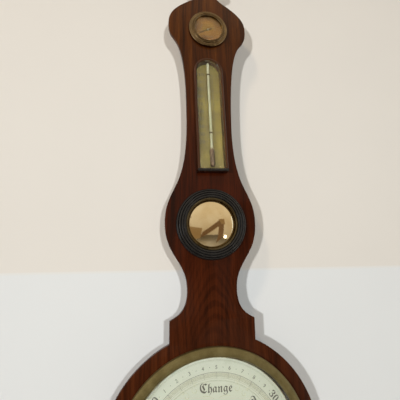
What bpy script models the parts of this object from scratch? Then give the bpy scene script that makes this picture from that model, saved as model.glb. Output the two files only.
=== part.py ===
"""Wheel barometer with a round body, an onion top, a hygrometer, a thermometer, a convex mirror and a level.

Metres, +Z up, +X to the right of someone facing the dial, and the dial faces -Y. The back lies in the plane
y = 0 and the origin is the eye of the hanging plate, where the wall hook carries the weight.
"""
import math

import bmesh
import bpy
import numpy as np
from mathutils import Matrix, Vector

# Driving dimensions, in metres. Heights on the case are measured from the dial's centre.
GAP = 0.0003
DIAL_Z = -0.705
CASE_DEPTH = 0.036
VENEER_T = 0.0015
EDGE_T = 0.006
BACK_INSET = 0.0075
HEAD_TUCK = 0.008
BODY_R = 0.159
TIP_Z = 0.803
SHOULDER_HALF = 0.065
SHOULDER_Z = 0.177
LOW_SHOULDER_Z = -0.185
FOOT_Z = -0.270
NECK_HALF = 0.0385
BULGE_HALF = 0.0733
HEAD_HALF = 0.0705

DIAL_R = 0.130
DIAL_SINK = 0.003
DIAL_T = 0.0015
DIAL_FLOOR = 0.0048
BEZEL_R = 0.1405
BEZEL_INNER_R = 0.127
BEZEL_PIN_R = 0.138
BEZEL_PIN_ANGLES = (33.0, 147.0, 213.0, 327.0)
GLASS_R = 0.1311
GLASS_RISE = 0.0135

ARBOR_R = 0.0010
PIPE_R = 0.0026
PIPE_BORE_R = 0.0014
MECHANISM_Y = -0.0105
THREAD_WHEEL_R = 0.0070
SET_WHEEL_R = 0.0090
KNOB_WHEEL_R = 0.0060
KNOB_Z = -0.1525
HAND_LENGTH = 0.092
HAND_ANGLE = 73.1
SET_HAND_ANGLE = 84.0

CAVITY_HALF = 0.046
CAVITY_TOP = 0.064
CAVITY_BOTTOM = -0.162
CAVITY_DEPTH = 0.0255
DOOR_HALF = 0.052
DOOR_TOP = 0.070
DOOR_BOTTOM = -0.168
DOOR_T = 0.004
HINGE_R = 0.0013
HINGE_OFFSET = 0.0015
HINGE_ZS = (0.035, -0.133)
BUTTON_X = 0.058
BUTTON_Z = -0.049

TUBE_R = 0.0040
TUBE_BORE_R = 0.0028
SHORT_LIMB_X = 0.0070
LONG_LIMB_X = 0.0190
SHORT_LIMB_TOP = -0.040
LONG_LIMB_TOP = 0.712
BEND_Z = -0.130
SHORT_LEVEL = -0.088
COLUMN_HEIGHT = 0.767
COUNTERWEIGHT_Z = -0.076

THERMOMETER_Z = 0.490
THERMOMETER_TILT = -1.7
BOX_HALF = 0.025
BOX_WALL = 0.004
BOX_HEIGHT = 0.014
ARCH_Z = 0.580
SILL_Z = 0.404
CLIP_ZS = {"upper": 0.577, "lower": 0.471}

HYGROMETER_Z = 0.671
HYGROMETER_R = 0.0352
HYGROMETER_ANGLE = -118.0
MIRROR_Z = 0.320
MIRROR_R = 0.0565
MIRROR_GLASS_R = 0.0406
MIRROR_RISE = 0.0125
LEVEL_Z = -0.2185

FRONT_Y = -CASE_DEPTH

# Scene and materials

for old in list(bpy.data.objects):
    bpy.data.objects.remove(old, do_unlink=True)

parts = bpy.data.collections.new("wheel_barometer")
cutters = bpy.data.collections.new("cutters")
guides = bpy.data.collections.new("guides")
for collection in (parts, cutters, guides):
    bpy.context.scene.collection.children.link(collection)


def material(name, colour, roughness, metallic=0.0, transmission=0.0):
    made = bpy.data.materials.new(name)
    made.use_nodes = True
    shader = made.node_tree.nodes["Principled BSDF"]
    shader.inputs["Base Color"].default_value = (*colour, 1.0)
    shader.inputs["Roughness"].default_value = roughness
    shader.inputs["Metallic"].default_value = metallic
    shader.inputs["Transmission Weight"].default_value = transmission
    return made


FINISHES = {
    "rosewood": ((0.085, 0.026, 0.012), 0.22, 0.0, 0.0),
    "deal": ((0.42, 0.27, 0.15), 0.7, 0.0, 0.0),
    "ebonised": ((0.012, 0.012, 0.013), 0.2, 0.0, 0.0),
    "silvered": ((0.60, 0.60, 0.48), 0.4, 0.6, 0.0),
    "brass": ((0.42, 0.33, 0.14), 0.35, 1.0, 0.0),
    "blued_steel": ((0.02, 0.03, 0.06), 0.3, 0.9, 0.0),
    "glass": ((0.95, 0.97, 0.95), 0.03, 0.0, 1.0),
    "mirror": ((0.9, 0.9, 0.88), 0.04, 1.0, 0.0),
    "mercury": ((0.7, 0.7, 0.72), 0.08, 1.0, 0.0),
    "bone": ((0.75, 0.68, 0.52), 0.4, 0.0, 0.0),
    "silk": ((0.12, 0.10, 0.07), 0.9, 0.0, 0.0),
    "cork": ((0.35, 0.22, 0.12), 0.9, 0.0, 0.0),
    "straw": ((0.5, 0.38, 0.18), 0.8, 0.0, 0.0),
}


def finish(obj, finish_name):
    """Give an object its own material and put it among the parts."""
    obj.data.materials.clear()
    obj.data.materials.append(material(obj.name, *FINISHES[finish_name]))
    for collection in list(obj.users_collection):
        collection.objects.unlink(obj)
    parts.objects.link(obj)
    return obj


def empty(name, location):
    made = bpy.data.objects.new(name, None)
    made.location = location
    guides.objects.link(made)
    return made


# Shapes

def on_case(x, z, forward=0.0):
    """A point on the case's front: x and z from the dial's centre, and how far it stands forward."""
    return Vector((x, FRONT_Y - forward, DIAL_Z + z))


def box(name, low, high):
    """A box between two corners."""
    size = [abs(b - a) for a, b in zip(low, high)]
    bpy.ops.mesh.primitive_cube_add(size=1.0, location=(Vector(low) + Vector(high)) / 2)
    made = bpy.context.object
    made.name = name
    made.data.transform(Matrix.Diagonal((*size, 1.0)))
    return made


def rod(name, radius, start, end, segments=24):
    """A cylinder from one point to another."""
    start, end = Vector(start), Vector(end)
    bpy.ops.mesh.primitive_cylinder_add(vertices=segments, radius=radius, depth=(end - start).length)
    made = bpy.context.object
    made.name = name
    made.location = (start + end) / 2
    made.rotation_euler = (end - start).to_track_quat("Z", "Y").to_euler()
    smooth(made)
    return made


def smooth(obj, angle=35.0):
    obj.data.shade_smooth()
    obj.data.set_sharp_from_angle(angle=math.radians(angle))


def turned(name, profile, centre, forward=True, steps=28, closed=True):
    """A turned piece. The profile's (radius, height) points run down its outer side; height points
    towards the viewer when forward is set, and up when it isn't."""
    mesh = bpy.data.meshes.new(name)
    points = [(r, 0.0, h) for r, h in profile]
    edges = [(i, i + 1) for i in range(len(points) - 1)]
    if closed:
        edges.append((len(points) - 1, 0))
    mesh.from_pydata(points, edges, [])
    made = bpy.data.objects.new(name, mesh)
    made.location = centre
    if forward:
        made.rotation_euler = (math.radians(90), 0, 0)
    screw = made.modifiers.new("turn", "SCREW")
    screw.steps = screw.render_steps = steps
    screw.use_merge_vertices = True
    screw.merge_threshold = 1e-6
    screw.use_smooth_shade = False
    return made


def ring_profile(outer, inner, low, high):
    return [(outer, high), (outer, low), (inner, low), (inner, high)]


def dome(radius, rise, low, thickness, steps=6):
    """The profile of a glass curved like a watch glass, from its centre's top outwards and back."""
    curve_r = (radius ** 2 + rise ** 2) / (2 * rise)
    radii = [radius * i / steps for i in range(steps + 1)]

    def height(r):
        return math.sqrt(curve_r ** 2 - r ** 2) - (curve_r - rise)

    top = [(r, low + thickness + height(r)) for r in radii]
    bottom = [(r, low + height(r)) for r in reversed(radii)]
    return top + bottom


def flat(name, outline, y_back, thickness, holes=()):
    """A plate cut to an outline of (x, z) points, standing forward from y_back."""
    curve = bpy.data.curves.new(name, "CURVE")
    curve.dimensions = "2D"
    curve.fill_mode = "BOTH"
    curve.extrude = thickness / 2
    for points in (outline, *holes):
        spline = curve.splines.new("POLY")
        spline.points.add(len(points) - 1)
        spline.use_cyclic_u = True
        for knot, (x, z) in zip(spline.points, points):
            knot.co = (x, z, 0.0, 1.0)
    made = bpy.data.objects.new(name, curve)
    made.rotation_euler = (math.radians(90), 0, 0)
    made.location = (0.0, y_back - thickness / 2, 0.0)
    guides.objects.link(made)
    return meshed(made)


def meshed(source):
    """A curve object turned into a welded mesh object at the same place."""
    bpy.context.view_layer.update()
    evaluated = source.evaluated_get(bpy.context.evaluated_depsgraph_get())
    mesh = bpy.data.meshes.new_from_object(evaluated)
    shape = bmesh.new()
    shape.from_mesh(mesh)
    bmesh.ops.remove_doubles(shape, verts=shape.verts, dist=1e-6)
    bmesh.ops.recalc_face_normals(shape, faces=shape.faces)
    shape.to_mesh(mesh)
    shape.free()
    made = bpy.data.objects.new(source.name, mesh)
    made.matrix_world = source.matrix_world
    name = source.name
    bpy.data.objects.remove(source, do_unlink=True)
    made.name = name
    return made


def tube(name, points, radius, resolution=2):
    """A solid round bar along a run of points."""
    curve = bpy.data.curves.new(name, "CURVE")
    curve.dimensions = "3D"
    curve.bevel_depth = radius
    curve.bevel_resolution = resolution
    curve.use_fill_caps = True
    spline = curve.splines.new("POLY")
    spline.points.add(len(points) - 1)
    for knot, point in zip(spline.points, points):
        knot.co = (*point, 1.0)
    made = bpy.data.objects.new(name, curve)
    guides.objects.link(made)
    return meshed(made)


def shape_of(obj, operation, other, name):
    step = obj.modifiers.new(name, "BOOLEAN")
    step.operation = operation
    step.solver = "EXACT"
    step.object = other


def hide(obj):
    """Make an object a guide for Booleans, which is not a part."""
    for collection in list(obj.users_collection):
        collection.objects.unlink(obj)
    cutters.objects.link(obj)
    obj.hide_render = True
    obj.display_type = "WIRE"


def cut(cutter, *targets):
    hide(cutter)
    for target in targets:
        shape_of(target, "DIFFERENCE", cutter, cutter.name)


def join(obj, *others):
    for other in others:
        hide(other)
        shape_of(obj, "UNION", other, other.name)
    return obj


def hang_from(parent, *children):
    """Parent objects to an empty without moving them."""
    bpy.context.view_layer.update()
    for child in children:
        child.parent = parent
        child.matrix_parent_inverse = parent.matrix_world.inverted()


# Outlines

def bezier(start, first, second, end, steps):
    """Points along a cubic curve, without its last one."""
    knots = [np.array(p, float) for p in (start, first, second, end)]
    weights = []
    for i in range(steps):
        t = i / steps
        weights.append(((1 - t) ** 3, 3 * t * (1 - t) ** 2, 3 * t * t * (1 - t), t ** 3))
    return [tuple(sum(w * k for w, k in zip(row, knots))) for row in weights]


def arc(radius, start, end, steps, centre=(0.0, 0.0)):
    """Points round a circle by clockwise angles from the top, in degrees, both ends included."""
    angles = np.radians(np.linspace(start, end, steps + 1))
    return [(centre[0] + radius * math.sin(a), centre[1] + radius * math.cos(a)) for a in angles]


def right_side(inset, tuck=0.0):
    """The case's right edge from the onion top's tip down to the foot, drawn in by an inset all round.

    A tuck draws the head in further and lifts its underside.
    """
    body_r = BODY_R - inset
    neck, bulge, head = NECK_HALF - inset, BULGE_HALF - inset, HEAD_HALF - inset - tuck
    shoulder = SHOULDER_HALF - inset
    onion, onion_neck, foot_neck, foot = (half - inset for half in (0.029, 0.0145, 0.046, 0.056))
    body_angle = math.degrees(math.asin(shoulder / body_r))
    slope = (0.036 - 0.6 * inset, 0.727 - 0.8 * inset)
    corner = (shoulder, SHOULDER_Z - inset)
    tip = (0.0, TIP_Z - 1.5 * inset)
    low_corner = (shoulder, LOW_SHOULDER_Z + inset)
    bottom = (0.0, FOOT_Z + inset)
    points = bezier(tip, (0.2 * onion, 0.786 - inset), (onion, 0.783), (onion, 0.769), 7)
    points += bezier((onion, 0.769), (onion, 0.759), (onion_neck, 0.758), (onion_neck, 0.749), 5)
    points += bezier((onion_neck, 0.749), (onion_neck, 0.739), (slope[0] - 0.008, slope[1] + 0.005), slope, 5)
    points += bezier(slope, (slope[0] + 0.016, slope[1] - 0.011), (head, 0.704), (head, 0.680 + tuck), 8)
    points += bezier((head, 0.680 + tuck), (head, 0.6262 + 1.6 * tuck), (neck, 0.6858 + tuck), (neck, 0.490), 14)
    points += bezier((neck, 0.490), (neck, 0.368), (bulge, 0.3807), (bulge, 0.322), 12)
    points += bezier((bulge, 0.322), (bulge, 0.2704), (neck, 0.263), (neck, 0.220), 9)
    points += bezier((neck, 0.220), (neck, 0.187), (shoulder - 0.009, corner[1] + 0.0053), corner, 8)
    points.append(corner)
    points += arc(body_r, body_angle, 180.0 - body_angle, 34)
    points += bezier(low_corner, (shoulder - 0.009, -0.188 + inset), (foot_neck, -0.191),
                     (foot_neck, -0.199), 6)
    points += bezier((foot_neck, -0.199), (foot_neck, -0.207), (foot, -0.210), (foot, -0.224), 6)
    points += bezier((foot, -0.224), (foot, -0.251), (foot / 2, bottom[1] + 0.009), bottom, 10)
    points.append(bottom)
    return points


def case_outline(inset=0.0, tuck=0.0):
    right = right_side(inset, tuck)
    left = [(-x, z) for x, z in reversed(right[1:-1])]
    return right + left


def placed(outline):
    """An outline of points about the dial's centre, moved to its place on the case."""
    return [(x, z + DIAL_Z) for x, z in outline]


def lofted(name, rings):
    """A solid through rings of (y, outline), front to back, each outline with as many points."""
    shape = bmesh.new()
    rows = [[shape.verts.new((x, y, z)) for x, z in outline] for y, outline in rings]
    for front, back in zip(rows, rows[1:]):
        for i in range(len(front)):
            j = (i + 1) % len(front)
            shape.faces.new((front[i], front[j], back[j], back[i]))
    shape.faces.new(list(reversed(rows[0])))
    shape.faces.new(rows[-1])
    bmesh.ops.recalc_face_normals(shape, faces=shape.faces)
    mesh = bpy.data.meshes.new(name)
    shape.to_mesh(mesh)
    shape.free()
    return bpy.data.objects.new(name, mesh)


# The case

def make_case():
    outline = case_outline()
    carcase = lofted("case_body", [
        (FRONT_Y + VENEER_T + GAP, placed(outline)),
        (FRONT_Y + EDGE_T, placed(outline)),
        (0.0, placed(case_outline(BACK_INSET, HEAD_TUCK))),
    ])
    veneer = flat("case_veneer", placed(outline), FRONT_Y + VENEER_T, VENEER_T)
    finish(carcase, "rosewood")
    finish(veneer, "rosewood")

    def front_hole(name, radius, x, z, depth, *targets, segments=36):
        hole = rod(name, radius, on_case(x, z, 0.01), on_case(x, z, -depth), segments)
        cut(hole, *targets)

    front_hole("dial_recess", DIAL_R + 0.0004, 0.0, 0.0, DIAL_FLOOR, carcase, veneer, segments=64)
    front_hole("pipe_hole", 0.0031, 0.0, 0.0, 0.02, carcase, segments=24)
    front_hole("hygrometer_pocket", 0.020, 0.0, HYGROMETER_Z, 0.012, carcase, veneer, segments=32)
    front_hole("mirror_recess", 0.0420, 0.0, MIRROR_Z, 0.0035, carcase, veneer)
    front_hole("spindle_hole", 0.0021, 0.0, KNOB_Z, 0.02, carcase, veneer, segments=24)
    level_pocket = box("level_pocket", on_case(-0.022, LEVEL_Z - 0.0042, 0.01),
                       on_case(0.022, LEVEL_Z + 0.0042, -0.0095))
    cut(level_pocket, carcase, veneer)

    cut(box("cavity", (-CAVITY_HALF, -CAVITY_DEPTH, DIAL_Z + CAVITY_BOTTOM),
            (CAVITY_HALF, 0.01, DIAL_Z + CAVITY_TOP)), carcase)
    cut(box("trough", (LONG_LIMB_X - 0.006, MECHANISM_Y - 0.005, DIAL_Z + 0.05),
            (LONG_LIMB_X + 0.006, 0.01, DIAL_Z + LONG_LIMB_TOP + 0.004)), carcase)
    cut(box("cover_rebate", (LONG_LIMB_X - 0.0093, -0.0037, DIAL_Z + 0.06),
            (LONG_LIMB_X + 0.0093, 0.01, DIAL_Z + LONG_LIMB_TOP + 0.0103)), carcase)
    cut(box("door_rebate", (-DOOR_HALF - 0.0015, -DOOR_T - 0.0007, DIAL_Z + DOOR_BOTTOM - GAP),
            (DOOR_HALF + GAP, 0.01, DIAL_Z + DOOR_TOP + GAP)), carcase)
    return carcase, veneer


def make_back(carcase):
    """The strip over the tube, the door with its hinges, and the button that holds it shut."""
    strip = box("tube_cover", (LONG_LIMB_X - 0.009, -0.0034, DIAL_Z + DOOR_TOP + 0.0008),
                (LONG_LIMB_X + 0.009, -0.0004, DIAL_Z + LONG_LIMB_TOP + 0.010))
    finish(strip, "deal")
    pivot_x = -DOOR_HALF
    pivot_y = -0.0015
    door = box("back_door", (pivot_x + HINGE_OFFSET, -DOOR_T - 0.0004, DIAL_Z + DOOR_BOTTOM),
               (DOOR_HALF, -0.0004, DIAL_Z + DOOR_TOP))
    finish(door, "deal")
    moving = [door]
    for label, z in zip(("upper", "lower"), HINGE_ZS):
        moving.append(make_hinge(label, pivot_x, pivot_y, DIAL_Z + z, carcase, door))

    pocket = rod("button_pocket", 0.0122, (BUTTON_X, -0.0026, DIAL_Z + BUTTON_Z),
                 (BUTTON_X, 0.01, DIAL_Z + BUTTON_Z), 40)
    cut(pocket, carcase, door)
    half, end_r = 0.0075, 0.0035
    shape = arc(end_r, -90, 90, 10, (0.0, half)) + arc(end_r, 90, 270, 10, (0.0, -half))
    button = flat("turn_button", [(x + BUTTON_X, z + DIAL_Z + BUTTON_Z) for x, z in shape], -0.0004, 0.0017)
    hole = rod("button_hole", 0.0016, (BUTTON_X, -0.01, DIAL_Z + BUTTON_Z),
               (BUTTON_X, 0.01, DIAL_Z + BUTTON_Z))
    cut(hole, button)
    finish(button, "brass")
    hang_from(empty("door_pivot", (pivot_x, pivot_y, DIAL_Z)), *moving)
    hang_from(empty("button_pivot", (BUTTON_X, 0.0, DIAL_Z + BUTTON_Z)), button)


def make_hinge(label, x, y, z, carcase, door):
    """A small butt hinge: a leaf with two knuckles and the pin on the case, and one with one on the door."""
    half_length, half_middle, leaf_t, leaf_w = 0.010, 0.0034, 0.0008, 0.009
    play = 0.0004
    leaf_y = -0.0003 - leaf_t
    pin_r, bore_r = 0.0005, 0.0008
    low, high = z - half_length, z + half_length
    cut(box(f"pocket_case_{label}", (x - leaf_w - GAP, leaf_y - GAP, low - GAP),
            (x, 0.01, high + GAP)), carcase)
    cut(box(f"pocket_door_{label}", (x, leaf_y - GAP, low - GAP), (x + leaf_w + GAP, 0.01, high + GAP)), door)
    cut(box(f"knuckle_door_{label}", (x, y - HINGE_R - play, low - GAP),
            (x + HINGE_R + 0.0011, 0.01, high + GAP)), door)

    fixed = box(f"hinge_{label}_case_leaf", (x - leaf_w, leaf_y, low), (x - 0.0006, leaf_y + leaf_t, high))
    cut(box(f"leaf_gap_{label}", (x - 0.0024, -0.01, z - half_middle - play),
            (x + 0.01, 0.01, z + half_middle + play)), fixed)
    for end in (-1, 1):
        near, far = z + end * (half_middle + play), z + end * half_length
        join(fixed, rod(f"knuckle_{label}_{end}", HINGE_R, (x, y, near), (x, y, far), 16))
    join(fixed, rod(f"pin_{label}", pin_r, (x, y, low + 0.0002), (x, y, high - 0.0002), 12))
    finish(fixed, "brass")

    moving = box(f"hinge_{label}_door_leaf", (x + 0.0006, leaf_y, low), (x + leaf_w, leaf_y + leaf_t, high))
    for end in (-1, 1):
        near, far = sorted((z + end * half_middle, z + end * (half_length + 0.001)))
        cut(box(f"moving_gap_{label}_{end}", (x - 0.01, -0.01, near), (x + 0.0024, 0.01, far)), moving)
    join(moving, rod(f"knuckle_{label}_middle", HINGE_R, (x, y, z - half_middle),
                     (x, y, z + half_middle), 16))
    cut(rod(f"bore_{label}", bore_r, (x, y, z - 0.012), (x, y, z + 0.012), 16), moving)
    finish(moving, "brass")
    return moving


def make_hanging_plate(carcase):
    """A brass plate with a keyhole at the top of the back: the eye is at the origin."""
    plate = box("hanging_plate", (-0.0085, -0.0022, -0.032), (0.0085, -0.0002, 0.014))
    entry = rod("keyhole_entry", 0.005, (0, -0.01, -0.012), (0, 0.01, -0.012), 24)
    slot = box("keyhole_slot", (-0.0022, -0.01, -0.012), (0.0022, 0.01, 0.0))
    eye = rod("keyhole_eye", 0.0023, (0, -0.01, 0.0), (0, 0.01, 0.0), 16)
    cut(entry, plate)
    cut(slot, plate)
    cut(eye, plate)
    finish(plate, "brass")
    cut(box("plate_rebate", (-0.0088, -0.0025, -0.0323), (0.0088, 0.01, 0.0143)), carcase)
    cut(box("hook_pocket", (-0.0062, -0.0090, -0.018), (0.0062, 0.0, 0.005)), carcase)


# The dial and its glass

def make_dial(carcase, veneer):
    plate = turned("dial_plate", ring_profile(DIAL_R, 0.0035, -DIAL_SINK - DIAL_T, -DIAL_SINK),
                   on_case(0, 0), steps=56)
    finish(plate, "silvered")
    bezel = turned("bezel", [
        (BEZEL_R, 0.0056), (BEZEL_R, GAP), (0.1315, GAP), (0.1315, 0.0049), (BEZEL_INNER_R, 0.0062),
        (0.1281, 0.0098), (0.1300, 0.0110), (0.1330, 0.0110), (0.1372, 0.0096), (0.1398, 0.0074),
    ], on_case(0, 0), steps=56)
    finish(bezel, "brass")
    glass = turned("bezel_glass", dome(GLASS_R, GLASS_RISE, 0.0022, 0.0020), on_case(0, 0), steps=40,
                   closed=False)
    finish(glass, "glass")
    for number, angle in enumerate(BEZEL_PIN_ANGLES, 1):
        x = BEZEL_PIN_R * math.sin(math.radians(angle))
        z = BEZEL_PIN_R * math.cos(math.radians(angle))
        cut(rod(f"pin_hole_{number}", 0.0010, on_case(x, z, 0.02), on_case(x, z, -0.0085), 12),
            bezel, veneer, carcase)
        pin = turned(f"bezel_pin_{number}", [
            (0.0, 0.0095), (0.0007, 0.0093), (0.0007, -0.0080), (0.0, -0.0083),
        ], on_case(x, z), steps=12, closed=False)
        finish(pin, "brass")


def hand_outline(length, tail, waist, swell):
    """A pointer: a long taper with a lozenge near its tip, and a tail that ends in a disc."""
    disc_r = tail * 0.16
    right = [(0.0, length), (swell, length * 0.80), (waist * 0.55, length * 0.72), (waist, 0.012),
             (0.0052, 0.004)]
    lower = [(0.0052, -0.004), (waist, -0.010), (waist * 0.8, -(tail - 2 * disc_r) - 0.0006)]
    disc = arc(disc_r, 20, 180, 8, (0.0, -tail + disc_r))
    side = right + lower + disc
    return side + [(-x, z) for x, z in reversed(side[1:-1])]


def turned_outline(outline, angle):
    """An outline turned clockwise about the dial's centre and moved to its place."""
    a = math.radians(angle)
    c, s = math.cos(a), math.sin(a)
    return [(x * c + z * s, DIAL_Z - x * s + z * c) for x, z in outline]


def make_hands():
    """The pressure hand on its arbor with the thread wheel, and the brass hand on its pipe."""
    centre = (0.0, 0.0, DIAL_Z)
    hand = flat("pressure_hand", turned_outline(hand_outline(HAND_LENGTH, 0.040, 0.0016, 0.0034), HAND_ANGLE),
                -0.0376, 0.0009)
    cut(rod("hand_hole", 0.0013, (0, -0.05, DIAL_Z), (0, -0.03, DIAL_Z)), hand)
    cap = turned("hand_cap", [
        (0.0, 0.0054), (0.0014, 0.0052), (0.0030, 0.0041), (0.0034, 0.0029), (0.0, 0.0029),
    ], on_case(0, 0), steps=24, closed=False)
    arbor = rod("hand_arbor", ARBOR_R, (0, -0.0386, DIAL_Z), (0, -0.0056, DIAL_Z), 16)
    wheel = turned("thread_wheel", [
        (0.0082, 0.0020), (0.0082, 0.0014), (0.0066, 0.0007), (0.0066, -0.0007), (0.0082, -0.0014),
        (0.0082, -0.0020), (0.0013, -0.0020), (0.0013, 0.0020),
    ], (0, MECHANISM_Y, DIAL_Z), steps=20)
    finish(hand, "blued_steel")
    for piece in (cap, arbor, wheel):
        finish(piece, "brass")
    hang_from(empty("hand_axis", centre), hand, cap, arbor, wheel)

    set_hand = flat("set_hand", turned_outline(hand_outline(0.086, 0.030, 0.0012, 0.0012), SET_HAND_ANGLE),
                    -0.0346, 0.0010)
    cut(rod("set_hand_hole", PIPE_R + 0.0003, (0, -0.05, DIAL_Z), (0, -0.03, DIAL_Z)), set_hand)
    pipe = turned("set_pipe", ring_profile(PIPE_R, PIPE_BORE_R, 0.0205, 0.0362), centre, steps=24)
    set_wheel = turned("set_wheel", grooved(SET_WHEEL_R, PIPE_R + 0.0003), (0, -0.0230, DIAL_Z), steps=20)
    for piece in (set_hand, pipe, set_wheel):
        finish(piece, "brass")
    hang_from(empty("set_axis", centre), set_hand, pipe, set_wheel)


def grooved(radius, bore):
    """The profile of a cord wheel, with its groove's floor at the radius."""
    rim = radius + 0.0009
    return [(rim, 0.0015), (rim, 0.0010), (radius, 0.0004), (radius, -0.0004), (rim, -0.0010), (rim, -0.0015),
            (bore, -0.0015), (bore, 0.0015)]


def make_set_drive():
    """The bone knob below the dial, and the cord from its wheel to the one on the brass hand's pipe."""
    centre = Vector((0.0, 0.0, DIAL_Z + KNOB_Z))
    knob = turned("set_knob", [
        (0.0, 0.0130), (0.0030, 0.0128), (0.0058, 0.0112), (0.0066, 0.0090), (0.0062, 0.0070),
        (0.0040, 0.0054), (0.0040, 0.0032), (0.0, 0.0032),
    ], on_case(0, KNOB_Z), steps=24, closed=False)
    finish(knob, "bone")
    collar = turned("knob_collar", ring_profile(0.0060, 0.0021, GAP, 0.0018), on_case(0, KNOB_Z), steps=24)
    finish(collar, "brass")
    spindle = rod("set_spindle", 0.0017, (0, FRONT_Y - 0.0029, centre.z), (0, -0.0190, centre.z), 16)
    wheel = turned("set_spindle_wheel", grooved(KNOB_WHEEL_R, 0.0020), (0, -0.0230, centre.z), steps=20)
    finish(spindle, "brass")
    finish(wheel, "brass")
    hang_from(empty("knob_axis", centre), knob, spindle, wheel)

    cord_r = 0.0003
    top_r, low_r = SET_WHEEL_R + cord_r + GAP / 2, KNOB_WHEEL_R + cord_r + GAP / 2
    lean = math.degrees(math.asin((top_r - low_r) / -KNOB_Z))
    run = arc(top_r, -90 - lean, 90 + lean, 16) + arc(low_r, 90 + lean, 270 - lean, 14, (0.0, KNOB_Z))
    path = [(x, -0.0230, z + DIAL_Z) for x, z in run]
    cord = bpy.data.curves.new("set_cord", "CURVE")
    cord.dimensions = "3D"
    cord.bevel_depth = cord_r
    cord.bevel_resolution = 1
    spline = cord.splines.new("POLY")
    spline.points.add(len(path) - 1)
    spline.use_cyclic_u = True
    for knot, point in zip(spline.points, path):
        knot.co = (*point, 1.0)
    loop = bpy.data.objects.new("set_cord", cord)
    guides.objects.link(loop)
    finish(meshed(loop), "silk")


# The mercury tube and what hangs from the thread wheel

def siphon_path(short_top, long_top):
    """The middle of the tube: down the short limb, round the bend and up the long one."""
    middle = (SHORT_LIMB_X + LONG_LIMB_X) / 2
    bend_r = (LONG_LIMB_X - SHORT_LIMB_X) / 2
    turn = arc(bend_r, 270, 90, 12, (middle, BEND_Z))
    run = [(SHORT_LIMB_X, short_top), *turn, (LONG_LIMB_X, long_top)]
    return [(x, MECHANISM_Y, z + DIAL_Z) for x, z in run]


def make_siphon():
    glass = tube("siphon_tube", siphon_path(SHORT_LIMB_TOP, LONG_LIMB_TOP), TUBE_R)
    bore = tube("siphon_bore", siphon_path(SHORT_LIMB_TOP + 0.01, LONG_LIMB_TOP - 0.003), TUBE_BORE_R)
    cut(bore, glass)
    finish(glass, "glass")
    fill_r = TUBE_BORE_R - GAP
    path = siphon_path(SHORT_LEVEL, SHORT_LEVEL + COLUMN_HEIGHT)
    column = tube("mercury_column", path[1:], fill_r)
    short = rod("mercury_short", fill_r, Vector(path[1]) + Vector((0, 0, GAP)), path[0], 16)
    finish(column, "mercury")
    finish(short, "mercury")
    for label, z in (("upper", 0.560), ("lower", 0.120)):
        wedge = box(f"tube_wedge_{label}", (LONG_LIMB_X - 0.0057, MECHANISM_Y, DIAL_Z + z - 0.008),
                    (LONG_LIMB_X + 0.0057, -0.0040, DIAL_Z + z + 0.008))
        cut(rod(f"wedge_groove_{label}", TUBE_R + GAP, (LONG_LIMB_X, MECHANISM_Y, DIAL_Z + z - 0.02),
                (LONG_LIMB_X, MECHANISM_Y, DIAL_Z + z + 0.02)), wedge)
        finish(wedge, "cork")


def make_float():
    """The float on the mercury and its equal counterweight, on threads either side of the wheel."""
    radius, length, thread_r = 0.0021, 0.0217, 0.00025
    rests = {
        "float": (THREAD_WHEEL_R, SHORT_LEVEL + GAP),
        "counterweight": (-THREAD_WHEEL_R, COUNTERWEIGHT_Z),
    }
    for name, (x, low) in rests.items():
        weight = turned(name, [
            (0.0, length), (0.0006, length), (0.0009, length - 0.0018), (radius, length - 0.0045),
            (radius, 0.0006), (radius - 0.0006, 0.0), (0.0, 0.0),
        ], (x, MECHANISM_Y, DIAL_Z + low), forward=False, steps=16, closed=False)
        finish(weight, "glass")
        thread = rod(f"{name}_thread", thread_r, (x, MECHANISM_Y, DIAL_Z + low + length + GAP),
                     (x, MECHANISM_Y, DIAL_Z - 0.0008), 8)
        finish(thread, "silk")


def make_bridge():
    """The cock that carries the back pivot of the arbor, standing on two posts."""
    bridge = box("wheel_bridge", (-0.0045, -0.0074, DIAL_Z - 0.026), (0.0045, -0.0060, DIAL_Z + 0.026))
    for label, z in (("high", 0.022), ("low", -0.022)):
        join(bridge, rod(f"bridge_post_{label}", 0.0028, (0, -CAVITY_DEPTH + GAP, DIAL_Z + z),
                         (0, -0.0067, DIAL_Z + z), 20))
    cut(rod("bridge_hole", 0.0013, (0, -0.012, DIAL_Z), (0, 0.0, DIAL_Z), 16), bridge)
    finish(bridge, "brass")


# Thermometer

def arched(half, low, high_centre, steps=16):
    """A window's outline: straight sides and a round head."""
    return arc(half, -90, 90, steps, (0.0, high_centre)) + [(half, low), (-half, low)]


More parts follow.
